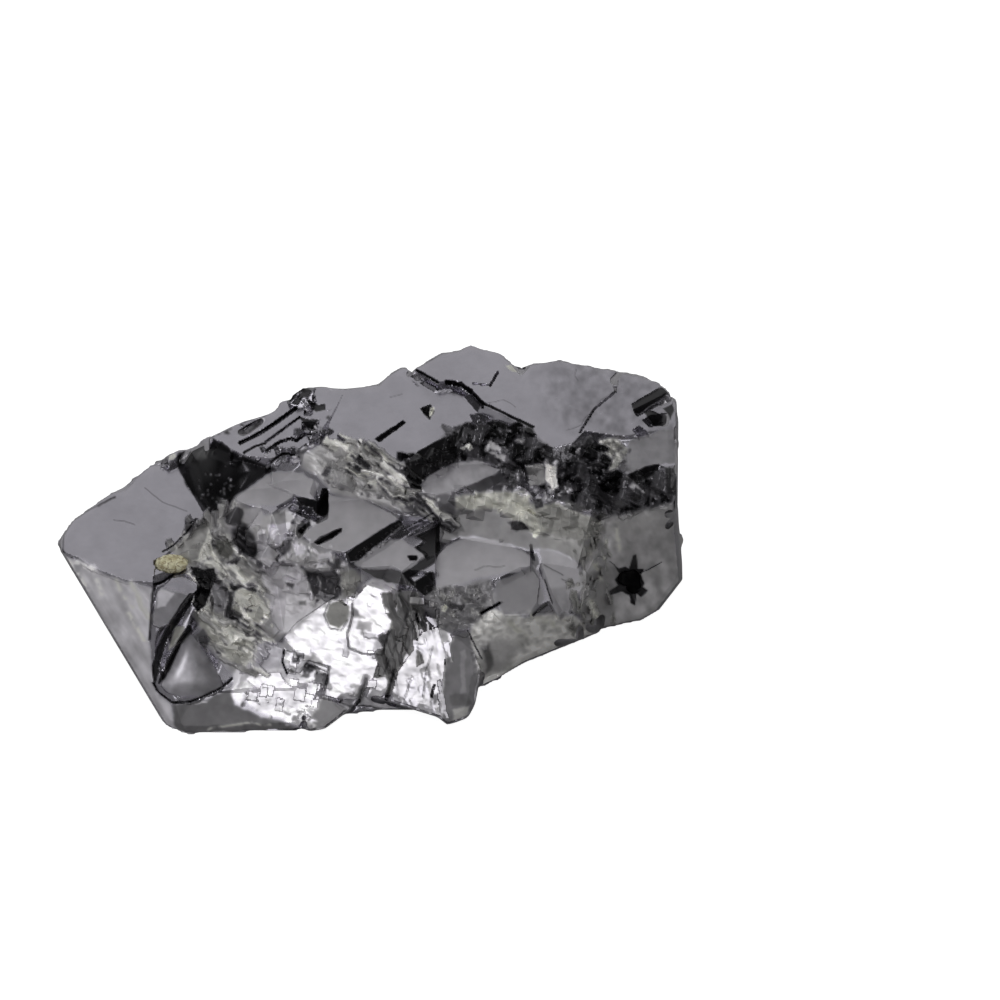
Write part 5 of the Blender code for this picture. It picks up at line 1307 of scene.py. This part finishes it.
crystal = bpy.data.objects.new("crystal_body", crystal_node.data.copy())
bpy.context.scene.collection.objects.link(crystal)
work_in(crystal, "WELD", merge_threshold=WELD_WITHIN)
work_in(crystal, "REMESH", mode="VOXEL", voxel_size=BODY_GRID * MM)
body = mesh_points(crystal.data)
normals = np.empty(body.size, np.float32)
crystal.data.vertex_normals.foreach_get("vector", normals)
normals = normals.reshape(-1, 3).astype(float)
hidden = smooth(-(normals @ TOWARDS), *TURNED_AWAY) * smooth(body[:, 2], *ABOVE_GROUND)

on_cube = body @ CUBE_AXES.T
flat = [on_cube[:, axis] + slant * on_cube[:, 2] for axis, slant in enumerate(BODY_SLANTS)]
body_paint = [
    middle + spread * noise(*flat, size, seed, BODY_OCTAVES) for middle, spread, size, seed in BODY_FINISHES
]

reachable = np.flatnonzero(hidden > 0.0)
moved = body[reachable]
outward = normals[reachable]
for at in random.choice(np.flatnonzero(hidden > 0.5), HIDDEN_BLOCKS):
    sides = blend(*np.array(HIDDEN_SIDES), random.uniform(size=3) ** 2)
    block_axes = turned(CUBE_AXES, HIDDEN_TURN)
    reach = float(np.abs(block_axes @ normals[at]) @ sides) * 0.5
    step = random.uniform(*HIDDEN_STEP)
    way = 1.0 if random.uniform() < RAISED else -1.0
    finish = pick(HIDDEN)
    centre = body[at] + normals[at] * way * (step - reach)
    place = (moved - centre) @ block_axes.T
    struck = np.flatnonzero((np.abs(place) < sides * 0.5).all(1))
    course = outward[struck] @ block_axes.T * way
    course = np.where(np.abs(course) < LEVEL_WITH, LEVEL_WITH, course)
    leave = ((np.sign(course) * sides * 0.5 - place[struck]) / course).min(1)
    shift = np.minimum(leave, MOST_STEP) * way * hidden[reachable][struck]
    moved[struck] += outward[struck] * shift[:, None]
    for field, value in zip(body_paint, finish):
        field[reachable[struck]] = value
body[reachable] = moved
crystal.data.vertices.foreach_set("co", (body * MM).astype(np.float32).ravel())
work_in(crystal, "SMOOTH", factor=0.5, iterations=4)

body = mesh_points(crystal.data) - SHEET_ORIGIN
body_x, body_y, body_depth = body @ RIGHT, -(body @ UP), body @ TOWARDS
covered = sample(rim, body_x, body_y)
behind = sample(np.nan_to_num(base), body_x, body_y) - BODY_SUNK * covered
body_depth = np.where(covered > 0.0, np.minimum(body_depth, behind), body_depth)
past = np.maximum(WORN[0] * body_x + WORN[1] * body_y - WORN_AT, 0.0)
body = on_sheet(body_x - WORN[0] * past, body_y - WORN[1] * past, body_depth)
body = np.clip(body, lowest, highest)
body[:, 2] = np.maximum(body[:, 2], 0.0)
crystal.data.vertices.foreach_set("co", (body * MM).astype(np.float32).ravel())
crystal.data.update()
write_fields(crystal.data, [np.clip(field, 0.0, MOST_TONE) for field in body_paint])
faces_made.append(crystal)

SHARP = math.radians(24.0)
for piece in faces_made:
    piece.data.shade_smooth()
    piece.data.set_sharp_from_angle(angle=SHARP)


class Term:
    """One value in a material's node graph. Arithmetic on it adds Math nodes."""

    def __init__(self, tree, socket):
        self.tree = tree
        self.socket = socket

    def maths(self, operation, *others):
        """This term and the others put through a Math node."""
        inputs = dict(enumerate((self, *others)))
        node = add_node(self.tree, "ShaderNodeMath", {"operation": operation}, inputs)
        return Term(self.tree, node.outputs[0])

    def __add__(self, other):
        return self.maths("ADD", other)

    def __radd__(self, other):
        return self.maths("ADD", other)

    def __sub__(self, other):
        return self.maths("SUBTRACT", other)

    def __rsub__(self, other):
        return (self * -1.0).maths("ADD", other)

    def __mul__(self, other):
        return self.maths("MULTIPLY", other)

    def __rmul__(self, other):
        return self.maths("MULTIPLY", other)

    def clamped(self):
        """The term kept from 0 to 1."""
        return self.maths("MAXIMUM", 0.0).maths("MINIMUM", 1.0)


def add_node(tree, kind, settings=None, inputs=None):
    """A node of this type, with its settings first and then its inputs, each a value or a link."""
    node = tree.nodes.new(kind)
    for key, value in (settings or {}).items():
        setattr(node, key, value)
    for key, value in (inputs or {}).items():
        if isinstance(value, Term):
            tree.links.new(value.socket, node.inputs[key])
        else:
            node.inputs[key].default_value = value
    return node


def new_material(name):
    """A new material, its node tree and its shader."""
    made = bpy.data.materials.new(name)
    made.use_nodes = True
    return made, made.node_tree, made.node_tree.nodes["Principled BSDF"]


def attribute(tree, name):
    """A field that the mesh carries on its points."""
    return Term(tree, add_node(tree, "ShaderNodeAttribute", {"attribute_name": name}).outputs["Fac"])


def coordinates(tree, kind):
    """The place of the shaded point, or the direction of the ray, in these coordinates."""
    return Term(tree, add_node(tree, "ShaderNodeTexCoord").outputs[kind])


def mixed(tree, factor, first, second):
    """A colour part of the way from the first to the second."""
    node = add_node(tree, "ShaderNodeMix", {"data_type": "RGBA"}, {"Factor": factor})
    for socket, colour in ((node.inputs[6], first), (node.inputs[7], second)):
        if isinstance(colour, Term):
            tree.links.new(colour.socket, socket)
        else:
            socket.default_value = (*colour, 1.0)
    return Term(tree, node.outputs[2])


def fine_noise(tree, place, size, detail, roughness):
    """Noise about 0.5, in patches of this size in mm."""
    inputs = {"Vector": place, "Scale": 1.0 / (size * MM), "Detail": detail, "Roughness": roughness}
    return Term(tree, add_node(tree, "ShaderNodeTexNoise", {"noise_dimensions": "3D"}, inputs).outputs["Fac"])


def bumpy(tree, shader, height, strength, tallest):
    """Gives a shader bumps that follow a field, with this strength and height in mm."""
    inputs = {"Strength": strength, "Distance": tallest * MM, "Height": height}
    bump = add_node(tree, "ShaderNodeBump", None, inputs)
    tree.links.new(bump.outputs["Normal"], shader.inputs["Normal"])


def varying(noise, amount):
    """1, and up to half this amount more or less, with the noise."""
    return noise * amount + (1.0 - amount / 2.0)


# The galena's three surfaces. Then its fine grain and its broader stain: size, detail and roughness, and
# how much each varies the tone. Then the roughness of bright metal, and what dullness and the grain add to
# it, and its pits: strength and height.
METAL = (0.390, 0.378, 0.420)
GREY_FILM = (0.305, 0.297, 0.308)
CREAM_FILM = (0.50, 0.50, 0.43)
GRAIN = (0.8, 5.0, 0.65)
STAIN = (4.0, 3.0, 0.55)
GRAIN_TONE = 0.16
STAIN_TONE = 0.12
BRIGHT_ROUGH = 0.17
DULL_ROUGH = 0.35
GRAIN_ROUGH = 0.10
PITS = (0.25, 0.03)

galena, tree, shader = new_material("galena")
place = coordinates(tree, "Object")
grain = fine_noise(tree, place, *GRAIN)
stain = fine_noise(tree, place, *STAIN)
# The tone attribute scales the colour: on the face it carries painted light and shade, on the hidden sides
# the metal's own varied tone.
tone_and_light_term = attribute(tree, "tone_and_painted_light") * varying(grain, GRAIN_TONE) * varying(stain, STAIN_TONE)
dull_term = attribute(tree, "dull")
surface = mixed(tree, dull_term, METAL, mixed(tree, attribute(tree, "warm"), GREY_FILM, CREAM_FILM))
colour = add_node(tree, "ShaderNodeVectorMath", {"operation": "SCALE"}, {0: surface, "Scale": tone_and_light_term})
tree.links.new(colour.outputs[0], shader.inputs["Base Color"])
tree.links.new((1.0 - dull_term).socket, shader.inputs["Metallic"])
rough_term = dull_term * DULL_ROUGH + grain * GRAIN_ROUGH + BRIGHT_ROUGH
tree.links.new(rough_term.socket, shader.inputs["Roughness"])
bumpy(tree, shader, grain, *PITS)
for piece in faces_made:
    piece.data.materials.clear()
    piece.data.materials.append(galena)
    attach(piece, "root")
    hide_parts("galena_crystal")

# ---- The yellow grain --------------------------------------------------------------------------------------
# A small rounded grain of another mineral, which grew on the edge of the left terrace. Its surface is dull
# and sugary, with rolling lumps and fine grit.

# Its rings and their points, how far its lumps stand out and how much of its box it fills. Then the lumps:
# how far the noise runs over the grain, the strengths of the rolling lumps and of the grit, the size, seed
# and octaves of each, how far apart two of them are read, and how the grit slants.
GRAIN_RINGS = 56
GRAIN_STEPS = 112
GRAIN_LUMPS = 0.13
GRAIN_FILL = 0.98
LUMPS_ACROSS = 1.6
ROLLING = 0.5
ROLLING_NOISE = ((1.0, 301, 2), (1.0, 311, 2))
ROLLING_APART = 3.0
GRIT = 0.25
GRIT_NOISE = (0.22, 321, 2)
GRIT_SLANT = 1.3


def lumps(unit):
    """How far the grain's surface stands out: noise over three pairs of directions, with fine sugary grit."""
    x, y, z = unit.T * LUMPS_ACROSS
    rolling = noise(x + z, y - z, *ROLLING_NOISE[0]) + noise(y + ROLLING_APART, z + x, *ROLLING_NOISE[1])
    grit = noise(x * GRIT_SLANT - y, z * GRIT_SLANT + y, *GRIT_NOISE)
    return rolling * ROLLING + grit * GRIT


low, high = (np.array(corner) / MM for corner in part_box("yellow_grain"))
across = np.linspace(0.0, math.pi, GRAIN_RINGS + 2)[1:-1, None]
around = np.linspace(0.0, 2.0 * math.pi, GRAIN_STEPS, endpoint=False)[None, :]
unit = [np.sin(across) * np.cos(around), np.sin(across) * np.sin(around), np.cos(across) + 0.0 * around]
unit = np.concatenate([np.stack(unit, -1).reshape(-1, 3), ((0.0, 0.0, 1.0), (0.0, 0.0, -1.0))])
radius = (1.0 + GRAIN_LUMPS * lumps(unit))[:, None] * GRAIN_FILL
points = np.clip((low + high) / 2.0 + unit * radius * (high - low) / 2.0, low, high)
rings = np.arange(GRAIN_RINGS * GRAIN_STEPS).reshape(GRAIN_RINGS, GRAIN_STEPS)
after = np.roll(rings, -1, 1)
quads = np.stack([rings[:-1], rings[1:], after[1:], after[:-1]], -1).reshape(-1, 4)
top_fan = [(rings.size, first, second) for first, second in zip(rings[0], after[0])]
foot_fan = [(rings.size + 1, second, first) for first, second in zip(rings[-1], after[-1])]
yellow_grain = mesh_piece("sugary_grain", points, quads.tolist() + top_fan + foot_fan)
yellow_grain.data.shade_smooth()

# Its two yellows and the brown of its seams. Then its mottle and veins: size, detail and roughness, and how
# strong the first is and how sharp the second. Then its roughness and its bumps: strength and height.
DEEP_YELLOW = (0.50, 0.45, 0.26)
PALE_YELLOW = (0.86, 0.84, 0.62)
SEAM_BROWN = (0.30, 0.24, 0.13)
MOTTLE = (0.5, 3.0, 0.6)
VEINS = (0.9, 2.0, 0.5)
MOTTLE_STRONG = 3.0
VEINS_SHARP = 22.0
YELLOW_ROUGH = 0.75
SUGAR_BUMPS = (0.6, 0.08)

yellow, tree, shader = new_material("yellow_mineral")
place = coordinates(tree, "Object")
mottle = ((fine_noise(tree, place, *MOTTLE) - 0.5) * MOTTLE_STRONG + 0.5).clamped()
seams = ((fine_noise(tree, place, *VEINS) - 0.5).maths("ABSOLUTE") * VEINS_SHARP).clamped()
sugar = mixed(tree, mottle, DEEP_YELLOW, PALE_YELLOW)
tree.links.new(mixed(tree, seams, SEAM_BROWN, sugar).socket, shader.inputs["Base Color"])
shader.inputs["Roughness"].default_value = YELLOW_ROUGH
bumpy(tree, shader, mottle, *SUGAR_BUMPS)
yellow_grain.data.materials.append(yellow)
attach(yellow_grain, "root")
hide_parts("yellow_grain")

# ---- Floor, light and camera -------------------------------------------------------------------------------
# A plain pale table with soft light: bright behind the viewer, pale behind the crystal and dim at both
# sides.

FLOOR_HALF = 0.6
FLOOR_CORNERS = ((-1, -1, 0), (1, -1, 0), (1, 1, 0), (-1, 1, 0))
FLOOR_GREY = 0.40
FLOOR_ROUGH = 0.9
FLOOR_GLOW = 0.93
PURE_WHITE = (1.0, 1.0, 1.0, 1.0)


def camera_sees(tree, others, seen, output):
    """Sends one shader to the output for rays straight from the camera, and another for all others."""
    rays = add_node(tree, "ShaderNodeLightPath")
    choice = add_node(tree, "ShaderNodeMixShader")
    tree.links.new(rays.outputs["Is Camera Ray"], choice.inputs[0])
    tree.links.new(others.outputs[0], choice.inputs[1])
    tree.links.new(seen.outputs[0], choice.inputs[2])
    tree.links.new(choice.outputs[0], tree.nodes[output].inputs[0])


floor = mesh_piece("floor", np.array(FLOOR_CORNERS) * FLOOR_HALF / MM, [(0, 1, 2, 3)])
pale, tree, shader = new_material("pale_table")
shader.inputs["Base Color"].default_value = (FLOOR_GREY, FLOOR_GREY, FLOOR_GREY, 1.0)
shader.inputs["Roughness"].default_value = FLOOR_ROUGH
glow = add_node(tree, "ShaderNodeEmission", None, {"Color": PURE_WHITE, "Strength": FLOOR_GLOW})
glowing = add_node(tree, "ShaderNodeAddShader")
tree.links.new(shader.outputs[0], glowing.inputs[0])
tree.links.new(glow.outputs[0], glowing.inputs[1])
camera_sees(tree, shader, glowing, "Material Output")
floor.data.materials.append(pale)

world = bpy.data.worlds.new("studio")
bpy.context.scene.world = world
world.use_nodes = True
tree = world.node_tree
background = tree.nodes["Background"]
ray = coordinates(tree, "Generated")


def lobe(aim, inner, outer):
    """Light from round one direction: 1 within the inner angle, falling to 0 at the outer one, in degrees."""
    towards = {0: ray, 1: Vector(aim).normalized()}
    dot = add_node(tree, "ShaderNodeVectorMath", {"operation": "DOT_PRODUCT"}, towards)
    scaled = add_node(tree, "ShaderNodeMapRange", {"interpolation_type": "SMOOTHSTEP"}, {
        "Value": Term(tree, dot.outputs["Value"]),
        "From Min": math.cos(math.radians(outer)),
        "From Max": math.cos(math.radians(inner)),
    })
    return Term(tree, scaled.outputs[0])


# The light from everywhere, and the lights: direction, inner and outer angle, and strength.
DIMMEST = 0.02
LOBES = (
    ((0.0, 0.82, 0.57), 26.0, 56.0, 0.62),
    ((0.0, -0.82, 0.57), 9.0, 20.0, 1.6),
    ((-0.45, -0.35, 0.82), 6.0, 12.0, 6.0),
    ((0.0, -0.70, 0.70), 20.0, 60.0, 0.30),
    ((-0.89, -0.45, 0.05), 12.0, 40.0, 0.50),
    ((0.50, -0.50, 0.70), 3.0, 7.0, 6.0),
    ((-0.30, 0.30, 0.90), 3.0, 7.0, 4.0),
    ((0.70, 0.30, 0.65), 3.0, 8.0, 3.0),
)
light = DIMMEST
for aim, inner, outer, strength in LOBES:
    light = lobe(aim, inner, outer) * strength + light
tree.links.new(light.socket, background.inputs["Strength"])
background.inputs["Color"].default_value = PURE_WHITE
white = add_node(tree, "ShaderNodeBackground", None, {"Color": PURE_WHITE, "Strength": 1.0})
camera_sees(tree, background, white, "World Output")

# The camera stands along the line of sight, far off, and what it sees is FRAME_WIDTH wide.
FRAME_WIDTH = 0.1
FRAME_MIDDLE = 50.0
DISTANCE = 1.4
SENSOR = 36.0
lens = bpy.data.cameras.new("camera")
lens.sensor_width = SENSOR
lens.lens = SENSOR * DISTANCE / FRAME_WIDTH
lens.clip_start = 0.05
lens.clip_end = 5.0
camera = bpy.data.objects.new("camera", lens)
bpy.context.scene.collection.objects.link(camera)
middle = on_sheet(np.array(FRAME_MIDDLE), np.array(FRAME_MIDDLE), np.array(0.0)) * MM
camera.matrix_world = Matrix.Translation(middle + TOWARDS * DISTANCE) @ SHEET_TURN
bpy.context.scene.camera = camera
bpy.context.scene.view_settings.view_transform = "Standard"
